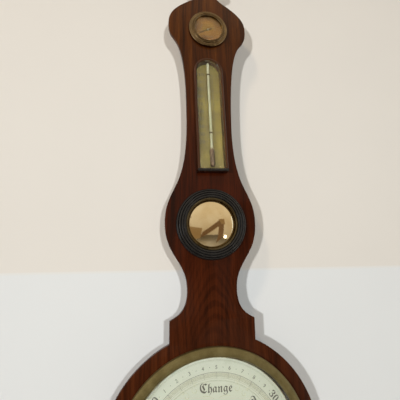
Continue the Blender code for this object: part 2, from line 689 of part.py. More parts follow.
def make_thermometer():
    inner = BOX_HALF - BOX_WALL
    frame = flat("thermometer_frame", placed(arched(BOX_HALF, SILL_Z + BOX_WALL + GAP, ARCH_Z)),
                 FRONT_Y - GAP, BOX_HEIGHT - GAP)
    cut(flat("box_opening", placed(arched(inner, SILL_Z - 0.01, ARCH_Z)), FRONT_Y + 0.005, 0.03), frame)
    finish(frame, "rosewood")
    sill = box("thermometer_sill", on_case(-BOX_HALF, SILL_Z, GAP),
               on_case(BOX_HALF, SILL_Z + BOX_WALL, BOX_HEIGHT))
    finish(sill, "ebonised")
    scale = flat("thermometer_plate", placed(arched(inner - GAP, SILL_Z + BOX_WALL + GAP, ARCH_Z)),
                 FRONT_Y - GAP, 0.0012)
    finish(scale, "silvered")
    window = flat("thermometer_window", placed(arched(inner - GAP, SILL_Z + BOX_WALL + GAP, ARCH_Z)),
                  FRONT_Y - 0.0112, 0.0014)
    finish(window, "glass")

    stem_r, bore_r, bulb_r, bulb_bore_r = 0.0023, 0.0008, 0.0040, 0.0033
    low, neck, high = 0.4125, 0.444, 0.5985
    place = on_case(0.0015, 0.0, 0.0059)
    glass = turned("thermometer_tube", [
        (0.0, low + 0.0007), (bulb_bore_r - 0.0012, low + 0.0008), (bulb_bore_r, low + 0.0024),
        (bulb_bore_r, neck - 0.0045), (bore_r, neck - 0.0005), (bore_r, high),
        (stem_r, high), (stem_r, neck), (bulb_r, neck - 0.004), (bulb_r, low + 0.002), (bulb_r - 0.0018, low),
        (0.0, low),
    ], place, forward=False, steps=20, closed=False)
    finish(glass, "glass")
    fill, top = 0.0003, 0.5
    quicksilver = turned("thermometer_mercury", [
        (0.0, top), (bore_r - fill, top), (bore_r - fill, neck - 0.0008), (bulb_bore_r - fill, neck - 0.0049),
        (bulb_bore_r - fill, low + 0.0029), (bulb_bore_r - 0.0015, low + 0.0012), (0.0, low + 0.0012),
    ], place, forward=False, steps=16, closed=False)
    finish(quicksilver, "mercury")
    pieces = [frame, sill, scale, window, glass, quicksilver]
    for label, z in CLIP_ZS.items():
        band = ring_profile(0.0031, 0.0026, z - 0.0007, z + 0.0007)
        clip = turned(f"thermometer_clip_{label}", band, place, forward=False, steps=20)
        finish(clip, "brass")
        pieces.append(clip)
    pivot = empty("thermometer_tilt", on_case(0.0, THERMOMETER_Z))
    hang_from(pivot, *pieces)
    hang_from(pivot, bpy.data.objects["box_opening"])
    pivot.rotation_euler = (0.0, math.radians(THERMOMETER_TILT), 0.0)


# Hygrometer, mirror and level

def make_hygrometer():
    centre = on_case(0, HYGROMETER_Z)
    dial_r = 0.0282
    bezel = turned("hygrometer_bezel", [
        (HYGROMETER_R, 0.0040), (HYGROMETER_R, GAP), (0.0285, GAP), (0.0285, 0.0062), (0.0252, 0.0066),
        (0.0252, 0.0074), (0.0266, 0.0084), (0.0290, 0.0080), (0.0308, 0.0068), (0.0330, 0.0062),
        (0.0345, 0.0052),
    ], centre)
    glass = turned("hygrometer_glass", [
        (0.0, 0.0058), (dial_r, 0.0058), (dial_r, 0.0046), (0.0, 0.0046),
    ], centre, closed=False)
    dial = turned("hygrometer_dial", ring_profile(dial_r, 0.0010, GAP, 0.0013), centre)
    finish(bezel, "brass")
    finish(glass, "glass")
    finish(dial, "brass")
    length, width = 0.0215, 0.0007
    side = [
        (0.0, length), (width, length * 0.7), (width, 0.002), (0.002, 0.0008), (0.002, -0.0008),
        (width, -0.002), (width, -0.008),
    ]
    outline = turned_outline(side + [(-x, z) for x, z in reversed(side[1:])], HYGROMETER_ANGLE)
    hand = flat("hygrometer_hand", [(x, z + HYGROMETER_Z) for x, z in outline], FRONT_Y - 0.0024, 0.0006)
    join(hand, turned("hygrometer_boss", [
        (0.0, 0.0042), (0.0012, 0.0038), (0.0018, 0.0028), (0.0018, 0.0018), (0.0006, 0.0018),
        (0.0006, -0.0015), (0.0, -0.0015),
    ], centre, steps=20, closed=False))
    finish(hand, "brass")
    beard = turned("hygrometer_beard", [
        (0.0, -0.0018), (0.0005, -0.0018), (0.0011, -0.0060), (0.0009, -0.0115), (0.0, -0.0115),
    ], centre, steps=12, closed=False)
    finish(beard, "straw")
    hang_from(empty("hygrometer_axis", centre), hand)


def make_mirror():
    centre = on_case(0, MIRROR_Z)
    ring = [(MIRROR_R, 0.0030), (MIRROR_R, GAP), (0.0413, GAP), (0.0413, 0.0082), (0.0425, 0.0092),
            (0.0450, 0.0094), (0.0500, 0.0084), (0.0528, 0.0066), (0.0536, 0.0052), (0.0552, 0.0052)]
    finish(turned("mirror_frame", ring, centre), "ebonised")
    slip = [
        (0.0410, 0.0078), (0.0410, 0.0024), (0.0404, 0.0024), (0.0382, 0.0042), (0.0380, 0.0052),
        (0.0394, 0.0078),
    ]
    finish(turned("mirror_slip", slip, centre), "brass")
    finish(turned("mirror_glass", dome(MIRROR_GLASS_R, MIRROR_RISE, 0.0003, 0.0018), centre, closed=False),
           "mirror")
    finish(turned("mirror_backing", [(0.0, -GAP), (0.0416, -GAP), (0.0416, -0.0032), (0.0, -0.0032)], centre,
                  closed=False), "deal")


def make_level():
    """A spirit level behind a slot in a silvered plate."""
    half_w, end_r = 0.027, 0.010
    shape = arc(end_r, 0, 180, 12, (half_w, 0.0)) + arc(end_r, 180, 360, 12, (-half_w, 0.0))
    slot = arc(0.0028, 0, 180, 8, (0.014, 0.0)) + arc(0.0028, 180, 360, 8, (-0.014, 0.0))
    plate = flat("level_plate", [(x, z + DIAL_Z + LEVEL_Z) for x, z in shape], FRONT_Y - GAP, 0.0014)
    cut(flat("level_slot", [(x, z + DIAL_Z + LEVEL_Z) for x, z in slot], FRONT_Y + 0.005, 0.02), plate)
    finish(plate, "silvered")
    y = FRONT_Y + 0.0045
    z = DIAL_Z + LEVEL_Z
    vial = rod("level_vial", 0.0038, (-0.0215, y, z), (0.0215, y, z), 24)
    cut(rod("vial_bore", 0.0029, (-0.0205, y, z), (0.03, y, z), 24), vial)
    finish(vial, "glass")
    bubble = turned("level_bubble", [
        (0.0, 0.0060), (0.0012, 0.0050), (0.0020, 0.0025), (0.0020, -0.0025), (0.0012, -0.0050),
        (0.0, -0.0060),
    ], (0.0, y, z + 0.0004), steps=16, closed=False)
    bubble.rotation_euler = (math.radians(90), 0, math.radians(90))
    finish(bubble, "glass")


case_body, case_veneer = make_case()
make_back(case_body)
make_hanging_plate(case_body)
make_dial(case_body, case_veneer)
make_hands()
make_set_drive()
make_siphon()
make_float()
make_bridge()
make_thermometer()
make_hygrometer()
make_mirror()
make_level()
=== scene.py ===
"""Looks for the wheel barometer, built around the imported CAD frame.

Metres, +Z up, +X to the right of someone facing the dial, and the dial faces -Y. Heights called z_up are
measured from the dial's centre, and forward distances from the face of the case.
"""

import random
from math import asin, cos, degrees, pi, radians, sin, sqrt

import bmesh
import bpy
from mathutils import Matrix, Vector
from mathutils.geometry import tessellate_polygon


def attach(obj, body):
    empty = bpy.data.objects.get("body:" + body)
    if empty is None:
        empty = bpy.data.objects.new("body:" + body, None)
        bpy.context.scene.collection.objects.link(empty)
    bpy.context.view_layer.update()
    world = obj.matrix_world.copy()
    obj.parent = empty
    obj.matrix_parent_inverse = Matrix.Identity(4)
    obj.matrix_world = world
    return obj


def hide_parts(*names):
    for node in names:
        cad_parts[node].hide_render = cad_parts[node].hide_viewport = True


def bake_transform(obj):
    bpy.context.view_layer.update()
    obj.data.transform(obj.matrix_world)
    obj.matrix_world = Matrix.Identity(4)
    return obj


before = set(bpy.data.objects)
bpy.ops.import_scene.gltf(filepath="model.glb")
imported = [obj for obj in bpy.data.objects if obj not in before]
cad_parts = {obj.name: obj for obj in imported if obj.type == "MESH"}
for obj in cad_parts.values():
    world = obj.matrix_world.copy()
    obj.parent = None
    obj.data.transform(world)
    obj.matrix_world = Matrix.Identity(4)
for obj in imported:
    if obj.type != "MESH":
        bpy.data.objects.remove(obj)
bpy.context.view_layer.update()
random.seed(11)

# Sizes that the CAD part has too, in metres unless they say otherwise, and angles in degrees.
GAP_MM = 0.3
GAP = GAP_MM / 1000
FRONT_Y = -0.036
DIAL_Z = -0.705
EDGE_T = 0.006
BACK_INSET = 0.0075
HEAD_TUCK = 0.008
DIAL_SINK = 0.003
THERMOMETER_Z = 0.490
THERMOMETER_TILT = -1.7
HYGROMETER_Z = 0.671
MIRROR_Z = 0.320
MIRROR_GLASS_R = 0.0406
MIRROR_RISE = 0.0125
LEVEL_Z = -0.2185
KNOB_Z = -0.1525
MECHANISM_Y = -0.0105
DEGREES_PER_TENTH = 10.44
TOP_READING = 29.5
DIAL_TURN = 2.0

# Where the photograph was taken from.
CAMERA_AT = Vector((-0.10398, -0.49212, -0.43678))
CAMERA_RIGHT = Vector((0.98301, -0.18315, -0.01194))
CAMERA_UP = Vector((-0.02337, -0.18940, 0.98162))
CAMERA_FORWARD = Vector((0.18204, 0.96467, 0.19047))
LENS_MM = 26.63


def mm(*points):
    """Points written in millimetres, as metres."""
    return [(across / 1000, up / 1000) for across, up in points]


def turned(angle, axis):
    return Matrix.Rotation(radians(angle), 4, axis)


def on_case(x, z_up, forward=0.0):
    return Vector((x, FRONT_Y - forward, DIAL_Z + z_up))


# The thermometer hangs a little askew.
TILT = (Matrix.Translation(on_case(0, THERMOMETER_Z)) @ turned(THERMOMETER_TILT, "Y")
        @ Matrix.Translation(-on_case(0, THERMOMETER_Z)))


# Node helpers

def add(tree, kind, inputs=None, **settings):
    """A shader node. Inputs are by name or number, and take a value or another node's socket."""
    made = tree.nodes.new(kind)
    for key, value in settings.items():
        setattr(made, key, value)
    for key, value in (inputs or {}).items():
        socket = made.inputs[key]
        if isinstance(value, bpy.types.NodeSocket):
            tree.links.new(value, socket)
        else:
            socket.default_value = value
    return made


def maths(tree, operation, *values):
    return add(tree, "ShaderNodeMath", dict(enumerate(values)), operation=operation).outputs[0]


def scaled(tree, value, by, plus):
    return maths(tree, "MULTIPLY_ADD", value, by, plus)


def ramp(tree, value, *stops):
    """A colour ramp from (position, colour) stops; a colour may be one grey number."""
    made = add(tree, "ShaderNodeValToRGB", {0: value})
    elements = made.color_ramp.elements
    while len(elements) < len(stops):
        elements.new(0.5)
    for element, (position, colour) in zip(elements, stops):
        element.position = position
        element.color = (*colour, 1.0) if isinstance(colour, tuple) else (colour, colour, colour, 1.0)
    return made.outputs[0]


def mixed(tree, share, first, second, blend="MIX"):
    """A colour between two, which may be sockets or (r, g, b)."""
    made = add(tree, "ShaderNodeMix", data_type="RGBA", blend_type=blend)
    for socket, value in zip((made.inputs[0], made.inputs[6], made.inputs[7]), (share, first, second)):
        if isinstance(value, bpy.types.NodeSocket):
            tree.links.new(value, socket)
        else:
            socket.default_value = (*value, 1.0) if isinstance(value, tuple) else value
    return made.outputs[2]


def coordinates(tree, scale=(1, 1, 1), turn=(0, 0, 0), shift=(0, 0, 0)):
    """The place on the piece in metres, stretched by a scale."""
    place = add(tree, "ShaderNodeTexCoord").outputs["Object"]
    return add(tree, "ShaderNodeMapping",
               {"Vector": place, "Location": shift, "Rotation": turn, "Scale": scale}).outputs[0]


def noise(tree, vector, scale, detail=4.0, roughness=0.5, distortion=0.0):
    return add(tree, "ShaderNodeTexNoise", {
        "Vector": vector, "Scale": scale, "Detail": detail, "Roughness": roughness, "Distortion": distortion,
    }).outputs[0]


def bump(tree, height, strength, distance):
    return add(tree, "ShaderNodeBump",
               {"Height": height, "Strength": strength, "Distance": distance}).outputs[0]


def new_material(name, **fixed):
    """A material and its Principled shader, with values that are the same all over set on the shader."""
    made = bpy.data.materials.new(name)
    made.use_nodes = True
    shader = made.node_tree.nodes["Principled BSDF"]
    for key, value in fixed.items():
        socket = shader.inputs[key.replace("_", " ")]
        socket.default_value = (*value, 1.0) if isinstance(value, tuple) else value
    return made, made.node_tree, shader


def drive(tree, shader, **sockets):
    for key, socket in sockets.items():
        tree.links.new(socket, shader.inputs[key.replace("_", " ")])


def see_through(tree, shader, share, tint):
    """Let a share of the rays pass straight through."""
    clear = add(tree, "ShaderNodeBsdfTransparent", {0: (*tint, 1.0)})
    both = add(tree, "ShaderNodeMixShader", {0: share, 1: shader.outputs[0], 2: clear.outputs[0]})
    tree.links.new(both.outputs[0], tree.nodes["Material Output"].inputs["Surface"])


# Materials

def figured_wood(name, dark, middle, light, polish, figure=0.0, pores=1.0):
    """Wood with its grain along Z: drawn-out colour streaks, dark pore lines and polish."""
    made, tree, shader = new_material(name, Coat_Weight=polish, Coat_Roughness=0.11, Specular_IOR_Level=0.12)
    place = coordinates(tree)
    wander = noise(tree, coordinates(tree, (9, 9, 3.2)), 1.0, 3.0)
    split = add(tree, "ShaderNodeSeparateXYZ", {0: place})
    x_place, z_place = split.outputs[0], split.outputs[2]
    bent_x = scaled(tree, wander, 0.030, x_place)
    bent = add(tree, "ShaderNodeCombineXYZ", {0: bent_x, 1: split.outputs[1], 2: z_place}).outputs[0]

    def drawn_out(*scale):
        return add(tree, "ShaderNodeMapping", {"Vector": bent, "Scale": scale}).outputs[0]

    bands = noise(tree, drawn_out(75, 75, 3.5), 1.0, 6.0, 0.66)
    streaks = noise(tree, drawn_out(330, 330, 9), 1.0, 4.0, 0.6)
    colour = ramp(tree, bands, (0.28, dark), (0.52, middle), (0.80, light))
    lines = ramp(tree, streaks, (0.38, 0.45), (0.56, 1.0))
    colour = mixed(tree, 0.6, colour, lines, "MULTIPLY")
    if figure:
        # The nested arches of a flat-sawn leaf, over the neck between the mirror and the body.
        height = maths(tree, "ADD", z_place, 0.500)
        arch = scaled(tree, maths(tree, "MULTIPLY", x_place, x_place), 46.0, height)
        uneven = noise(tree, coordinates(tree, (30, 30, 14)), 1.0, 3.0)
        phase = scaled(tree, wander, 16.0, maths(tree, "MULTIPLY", arch, 330.0))
        phase = scaled(tree, uneven, 11.0, phase)
        rings = scaled(tree, maths(tree, "SINE", phase), 0.5, 0.5)
        sides = []
        for off, fall in ((height, 11.0), (x_place, 14.0)):
            inside = maths(tree, "SUBTRACT", 1.0, maths(tree, "MULTIPLY", maths(tree, "ABSOLUTE", off), fall))
            sides.append(add(tree, "ShaderNodeClamp", {0: inside}).outputs[0])
        share = maths(tree, "MULTIPLY", maths(tree, "MULTIPLY", *sides), figure)
        arches = mixed(tree, ramp(tree, rings, (0.18, 0.0), (0.62, 1.0)), dark, light)
        colour = mixed(tree, share, colour, arches)
    pore = ramp(tree, noise(tree, drawn_out(1500, 1500, 60), 1.0, 2.0), (0.34, 0.45), (0.44, 1.0))
    colour = mixed(tree, 0.55 * pores, colour, pore, "MULTIPLY")
    cloud = noise(tree, coordinates(tree, (7, 7, 5), shift=(3, 1, 2)), 1.0, 3.0)
    colour = mixed(tree, 0.55, colour, ramp(tree, cloud, (0.30, 0.55), (0.70, 1.0)), "MULTIPLY")
    if figure:
        # Olive and paler at the head, redder down the trunk and browner again on the body, set by height.
        up = maths(tree, "SUBTRACT", z_place, DIAL_Z - 0.2)
        shifted_tone = ramp(tree, up, (0.05, (0.70, 0.66, 0.70)), (0.34, (0.68, 0.58, 0.60)),
                     (0.44, (0.60, 0.42, 0.40)), (0.56, (0.56, 0.32, 0.26)),
                     (0.68, (0.52, 0.40, 0.34)), (0.79, (0.72, 0.68, 0.44)), (0.87, (0.92, 0.98, 0.62)))
        colour = mixed(tree, 1.0, colour, shifted_tone, "MULTIPLY")
    rough = scaled(tree, streaks, 0.25, 0.27)
    relief = bump(tree, pore, 0.25, 0.00006)
    drive(tree, shader, Base_Color=colour, Roughness=rough, Normal=relief)
    return made


def aged_metal(name, tarnish, body, bright, roughness=0.34, scratches=0.25, metal=1.0):
    """Metal with cloudy tarnish, small pits and fine rubbing marks."""
    made, tree, shader = new_material(name, Metallic=metal, Specular_IOR_Level=0.25)
    place = coordinates(tree)
    cloud = noise(tree, place, 42.0, 6.0, 0.62)
    fine = noise(tree, place, 960.0, 4.0, 0.7)
    marks = noise(tree, coordinates(tree, (1, 1, 30), (0, 0.5, 0)), 90.0, 3.0, 0.6, 0.4)
    colour = ramp(tree, cloud, (0.30, tarnish), (0.52, body), (0.74, bright))
    colour = mixed(tree, 0.35, colour, ramp(tree, fine, (0.35, 0.55), (0.62, 1.0)), "MULTIPLY")
    rough = scaled(tree, cloud, 0.22, scaled(tree, marks, scratches * 0.5, roughness - 0.17))
    relief = bump(tree, scaled(tree, marks, 0.6, fine), scratches, 0.00003)
    drive(tree, shader, Base_Color=colour, Roughness=rough, Normal=relief)
    return made


def clear_glass(name, tint, ior, ripple=0.0):
    """Glass that lets the lamps through to what it covers."""
    made, tree, shader = new_material(name, Base_Color=tint, Transmission_Weight=1.0, IOR=ior)
    smear = noise(tree, coordinates(tree, (1, 1, 0.5)), 26.0, 4.0, 0.6)
    drive(tree, shader, Roughness=ramp(tree, smear, (0.35, 0.0), (0.85, 0.05)))
    if ripple:
        drive(tree, shader, Normal=bump(tree, noise(tree, coordinates(tree), 34.0, 1.0), ripple, 0.0004))
    lamps = add(tree, "ShaderNodeLightPath").outputs["Is Shadow Ray"]
    see_through(tree, shader, lamps, [0.94 * c for c in tint])
    return made


def silvered_plate(name, base, shade, spots, stain, metal):
    """Matt silvering: finely rubbed, with yellowed clouds and small dark specks."""
    made, tree, shader = new_material(name, Metallic=metal, Specular_IOR_Level=0.25)
    place = coordinates(tree)
    cloud = noise(tree, place, 24.0, 6.0, 0.6)
    grain = noise(tree, coordinates(tree, (1, 1, 26)), 380.0, 3.0, 0.6)
    speck = noise(tree, place, 620.0, 2.0, 0.5)
    colour = ramp(tree, cloud, (0.28, shade), (0.30 + 0.4 * stain, base), (1.0, base))
    colour = mixed(tree, 0.18, colour, ramp(tree, grain, (0.3, 0.6), (0.7, 1.0)), "MULTIPLY")
    colour = mixed(tree, ramp(tree, speck, (0.22, 0.55), (0.31, 0.0)), colour, spots)
    rough = scaled(tree, grain, 0.2, scaled(tree, cloud, 0.12, 0.26))
    drive(tree, shader, Base_Color=colour, Roughness=rough, Normal=bump(tree, grain, 0.12, 0.00002))
    return made


def foxed_mirror():
    """Old silvered glass: warm, a little wavy, with fox marks in the silver near its edge."""
    made, tree, shader = new_material("mirror_silver", Metallic=1.0)
    place = coordinates(tree)
    centre = on_case(0, MIRROR_Z)
    offset = add(tree, "ShaderNodeVectorMath", {0: place, 1: centre}, operation="SUBTRACT").outputs[0]
    split = add(tree, "ShaderNodeSeparateXYZ", {0: offset})
    flat_offset = add(tree, "ShaderNodeCombineXYZ", {0: split.outputs[0], 2: split.outputs[2]}).outputs[0]
    radius = add(tree, "ShaderNodeVectorMath", {0: flat_offset}, operation="LENGTH").outputs["Value"]
    spots = noise(tree, place, 320.0, 5.0, 0.7)
    edge = ramp(tree, maths(tree, "MULTIPLY", radius, 25.0), (0.80, 0.0), (1.0, 0.22))
    wear_and_painted_shade = ramp(tree, maths(tree, "SUBTRACT", spots, edge), (0.24, 1.0), (0.34, 0.0))
    cloud = ramp(tree, noise(tree, place, 38.0, 4.0), (0.35, (0.80, 0.63, 0.37)), (0.70, (0.94, 0.80, 0.54)))
    drive(tree, shader, Base_Color=mixed(tree, wear_and_painted_shade, cloud, (0.20, 0.13, 0.08)),
          Roughness=scaled(tree, wear_and_painted_shade, 0.30, 0.085),
          Normal=bump(tree, noise(tree, place, 46.0, 1.0), 0.10, 0.0006))
    return made


def engraving(name, colour):
    """Wax filling of cut letters and lines, uneven where it has worn."""
    made, tree, shader = new_material(name)
    wear = noise(tree, coordinates(tree), 900.0, 4.0, 0.7)
    shifted_tone = tuple(min(1.0, c * 3.0 + 0.05) for c in colour)
    drive(tree, shader, Base_Color=mixed(tree, ramp(tree, wear, (0.42, 0.0), (0.75, 0.8)), colour, shifted_tone),
          Roughness=scaled(tree, wear, 0.2, 0.45))
    return made


def bone():
    made, tree, shader = new_material("turned_bone", Subsurface_Weight=0.15, Subsurface_Scale=0.002)
    canals = noise(tree, coordinates(tree, (900, 60, 900)), 1.0, 3.0)
    age = noise(tree, coordinates(tree), 160.0, 4.0)
    colour = ramp(tree, age, (0.3, (0.50, 0.37, 0.19)), (0.65, (0.74, 0.64, 0.45)))
    colour = mixed(tree, 0.4, colour, ramp(tree, canals, (0.28, 0.4), (0.40, 1.0)), "MULTIPLY")
    drive(tree, shader, Base_Color=colour, Roughness=scaled(tree, age, 0.2, 0.22),
          Normal=bump(tree, canals, 0.15, 0.00004))
    return made


def liquid_metal():
    made, tree, shader = new_material("quicksilver", Metallic=1.0)
    film = noise(tree, coordinates(tree), 300.0, 3.0)
    drive(tree, shader, Base_Color=ramp(tree, film, (0.3, (0.52, 0.53, 0.55)), (0.7, (0.74, 0.75, 0.77))),
          Roughness=scaled(tree, film, 0.08, 0.04))
    return made


def enamelled_glass():
    """White-backed thermometer glass, with a painted dark reflection of the mercury where it fills the bulb.
    """
    made, tree, shader = new_material("enamelled_glass", IOR=1.47, Coat_Weight=0.5)
    tone = noise(tree, coordinates(tree, (1, 1, 0.2)), 240.0, 3.0)
    height = add(tree, "ShaderNodeSeparateXYZ", {0: coordinates(tree)}).outputs[2]
    stem = ramp(tree, scaled(tree, height, 250.0, -250.0 * (DIAL_Z + 0.4415)), (0.0, 0.0), (1.0, 1.0))
    white = ramp(tree, tone, (0.3, (0.17, 0.16, 0.10)), (0.7, (0.25, 0.24, 0.165)))
    # Painted reflection: the dark look of the mercury-filled bulb.
    dark = ramp(tree, tone, (0.3, (0.045, 0.026, 0.014)), (0.7, (0.085, 0.052, 0.030)))
    drive(tree, shader, Base_Color=mixed(tree, stem, dark, white), Roughness=scaled(tree, tone, 0.1, 0.10))
    return made


def twisted(name, dark, light):
    """Thread or straw, with its twist showing."""
    made, tree, shader = new_material(name, Sheen_Weight=0.3)
    twist = add(tree, "ShaderNodeTexWave",
                {"Vector": coordinates(tree, (1, 1, 0.8), (0, 0.7, 0)), "Scale": 900.0,
                                            "Distortion": 1.0}).outputs[1]
    drive(tree, shader, Base_Color=mixed(tree, twist, dark, light), Roughness=scaled(tree, twist, -0.1, 0.85),
          Normal=bump(tree, twist, 0.4, 0.00005))
    return made


def cork():
    made, tree, shader = new_material("cork")
    cells = add(tree, "ShaderNodeTexVoronoi", {"Vector": coordinates(tree), "Scale": 900.0}).outputs[0]
    patches = noise(tree, coordinates(tree), 300.0, 4.0)
    colour = ramp(tree, patches, (0.3, (0.16, 0.08, 0.04)), (0.5, (0.38, 0.23, 0.12)),
                  (0.8, (0.50, 0.33, 0.19)))
    drive(tree, shader, Base_Color=colour, Roughness=scaled(tree, patches, 0.2, 0.7),
          Normal=bump(tree, cells, 0.5, 0.0002))
    return made


ROSEWOOD = figured_wood("rosewood", (0.024, 0.0058, 0.0016), (0.088, 0.0220, 0.0055), (0.180, 0.052, 0.0130),
                        0.16, figure=0.22)
BOX_WOOD = figured_wood("box_rosewood", (0.020, 0.006, 0.002), (0.070, 0.022, 0.007),
                        (0.140, 0.050, 0.016), 0.5)
NEAR_BLACK_WOOD = figured_wood("near_black_wood", (0.003, 0.003, 0.0035), (0.006, 0.006, 0.007), (0.011, 0.010, 0.010),
                        1.0, pores=0.4)
DEAL = figured_wood("planed_deal", (0.19, 0.10, 0.045), (0.34, 0.21, 0.11), (0.44, 0.30, 0.17),
                    0.0, pores=0.5)
BRASS = aged_metal("lacquered_brass", (0.115, 0.085, 0.030), (0.27, 0.21, 0.085), (0.37, 0.30, 0.13))
DIAL_BRASS = aged_metal("olive_brass", (0.140, 0.108, 0.040), (0.205, 0.162, 0.064), (0.255, 0.207, 0.090),
                        0.50, 0.2, 0.5)
BRONZED = aged_metal("bronzed_brass", (0.185, 0.126, 0.066), (0.255, 0.177, 0.090), (0.42, 0.31, 0.18),
                     0.17, 0.2, 1.0)
HYGROMETER_FACE = aged_metal("golden_brass", (0.070, 0.026, 0.003), (0.120, 0.052, 0.006),
                             (0.120, 0.088, 0.012), 0.55, 0.25, 0.10)
SLIP_BRASS = aged_metal("slip_brass", (0.060, 0.045, 0.022), (0.130, 0.105, 0.060), (0.21, 0.18, 0.115), 0.30)
POLISHED = aged_metal("polished_brass", (0.62, 0.55, 0.40), (0.82, 0.76, 0.58), (0.92, 0.88, 0.74), 0.20)
BLUED = aged_metal("blued_steel", (0.012, 0.018, 0.040), (0.020, 0.034, 0.085),
                   (0.045, 0.060, 0.115), 0.28, 0.1)
SILVERED = silvered_plate("silvered_dial", (0.335, 0.340, 0.285), (0.285, 0.295, 0.235),
                          (0.15, 0.15, 0.11), 0.35, 0.25)
YELLOWED = silvered_plate("yellowed_silver", (0.150, 0.112, 0.024), (0.060, 0.044, 0.012),
                          (0.03, 0.022, 0.01), 0.8, 0.15)
GLASS = clear_glass("dial_glass", (0.985, 1.0, 0.98), 1.30)
TUBE_GLASS = clear_glass("tube_glass", (0.96, 0.99, 0.96), 1.47, 0.1)
SPIRIT = clear_glass("level_glass", (0.88, 0.97, 0.62), 1.40)
MIRROR_SILVER = foxed_mirror()
# This black wax also paints the shadow ring in the gap round the dial plate.
INK_AND_GAP_SHADOW = engraving("black_wax_and_gap_shadow", (0.020, 0.017, 0.012))
FAINT_INK = engraving("worn_wax", (0.19, 0.18, 0.115))
GREY_INK = engraving("grey_wax", (0.115, 0.11, 0.075))
BROWN_INK = engraving("brown_wax", (0.022, 0.014, 0.006))
BONE = bone()
MERCURY = liquid_metal()
ENAMEL = enamelled_glass()
SILK = twisted("silk_thread", (0.05, 0.04, 0.03), (0.16, 0.13, 0.09))
STRAW = twisted("oat_straw", (0.28, 0.19, 0.07), (0.52, 0.40, 0.19))
CORK = cork()


# Shape helpers

def linked(name, data):
    made = bpy.data.objects.new(name, data)
    bpy.context.scene.collection.objects.link(made)
    return made


def as_object(name, shape, material, sharp=38.0):
    """A smooth-shaded object from a bmesh, with its outside out."""
    bmesh.ops.remove_doubles(shape, verts=shape.verts, dist=1e-7)
    bmesh.ops.recalc_face_normals(shape, faces=shape.faces)
    mesh = bpy.data.meshes.new(name)
    shape.to_mesh(mesh)
    shape.free()
    mesh.shade_smooth()
    mesh.set_sharp_from_angle(angle=radians(sharp))
    made = linked(name, mesh)
    mesh.materials.append(material)
    return made


def fit(made, slot, *nodes, body="case"):
    """Put a piece on its body and hide the CAD nodes that it stands for. The slot is not used."""
    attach(made, body)
    if nodes:
        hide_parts(*nodes)


def rounded(profile, radius, closed=True, steps=3):
    """A profile with each corner eased by a small curve."""
    points = [Vector(p) for p in profile]
    count = len(points)
    eased = []
    for i, corner in enumerate(points):
        if not closed and i in (0, count - 1):
            eased.append(tuple(corner))
            continue
        before, after = points[i - 1] - corner, points[(i + 1) % count] - corner
        reach = min(radius, 0.42 * before.length, 0.42 * after.length)
        start, end = corner + before.normalized() * reach, corner + after.normalized() * reach
        for k in range(steps + 1):
            t = k / steps
            eased.append(tuple(start * (1 - t) ** 2 + corner * 2 * t * (1 - t) + end * t ** 2))
    return eased


def revolve(shape, profile, matrix, steps, closed):
    """Turn a (radius, height) profile about the matrix's Z axis. An open one starts and ends on the axis."""
    rings = []
    for r, h in profile:
        if r < 1e-9:
            rings.append([shape.verts.new(matrix @ Vector((0, 0, h)))])
            continue
        angles = [2 * pi * k / steps for k in range(steps)]
        rings.append([shape.verts.new(matrix @ Vector((r * cos(a), r * sin(a), h))) for a in angles])
    pairs = list(zip(rings, rings[1:]))
    if closed:
        pairs.append((rings[-1], rings[0]))
    for first, second in pairs:
        for k in range(steps):
            j = (k + 1) % steps
            corners = [first[k % len(first)], first[j % len(first)], second[j % len(second)],
                       second[k % len(second)]]
            corners = list(dict.fromkeys(corners))
            if len(corners) > 2:
                shape.faces.new(corners)


def facing(x, z_up, forward=0.0):
    """A frame over a place on the case's face, whose Z axis points to the viewer."""
    return Matrix.Translation(on_case(x, z_up, forward)) @ turned(90, "X")


def lathe(name, profile, material, z_up=0.0, ease=0.0002, steps=128, closed=True, matrix=None):
    """A turned piece facing the viewer, or along the given frame's Z axis."""
    shape = bmesh.new()
    points = rounded(profile, ease, closed) if ease else profile
    revolve(shape, points, facing(0.0, z_up) if matrix is None else matrix, steps, closed)
    return as_object(name, shape, material)


def dome(radius, rise, low, thickness, steps):
    """The profile of a round glass that swells towards the viewer."""
    curve_r = (radius ** 2 + rise ** 2) / (2 * rise)
    radii = [radius * i / steps for i in range(steps + 1)]
    heights = [sqrt(curve_r ** 2 - r ** 2) - (curve_r - rise) for r in radii]
    top = [(r, low + thickness + h) for r, h in zip(radii, heights)]
    bottom = [(r, low + h) for r, h in zip(radii, heights)]
    return top + bottom[::-1]


def prism(shape, outline, back, thick):
    """A thin tilted plate from an outline of (x, z) world points, thick forward from its rear y, back."""
    rows = [[shape.verts.new(TILT @ Vector((x, y, z))) for x, z in outline] for y in (back, back - thick)]
    bridge_rows(shape, *rows)
    for row in rows:
        for triangle in tessellate_polygon([[v.co for v in row]]):
            shape.faces.new([row[k] for k in triangle])


def plate_with_holes(shape, loops, y):
    """A flat face between an outline and its holes, and the vertices of each loop."""
    rows = [[shape.verts.new((x, y, z)) for x, z in loop] for loop in loops]
    flat = [v for row in rows for v in row]
    for triangle in tessellate_polygon([[v.co for v in row] for row in rows]):
        shape.faces.new([flat[k] for k in triangle])
    return rows


def bridge_rows(shape, first, second):
    for i in range(len(first)):
        j = (i + 1) % len(first)
        shape.faces.new((first[i], first[j], second[j], second[i]))


def loft(shape, rows):
    """A closed skin through rows of vertices."""
    for first, second in zip(rows, rows[1:]):
        bridge_rows(shape, first, second)
    shape.faces.new(rows[0])
    shape.faces.new(rows[-1])


def circle(radius, steps=96):
    """A ring of (x, z) world points about the dial's centre."""
    angles = [2 * pi * k / steps for k in range(steps)]
    return [(radius * sin(a), DIAL_Z + radius * cos(a)) for a in angles]


# The marks on dials and scales are thin solids that stand a hair proud of their plate.

MARK_T = 0.00005


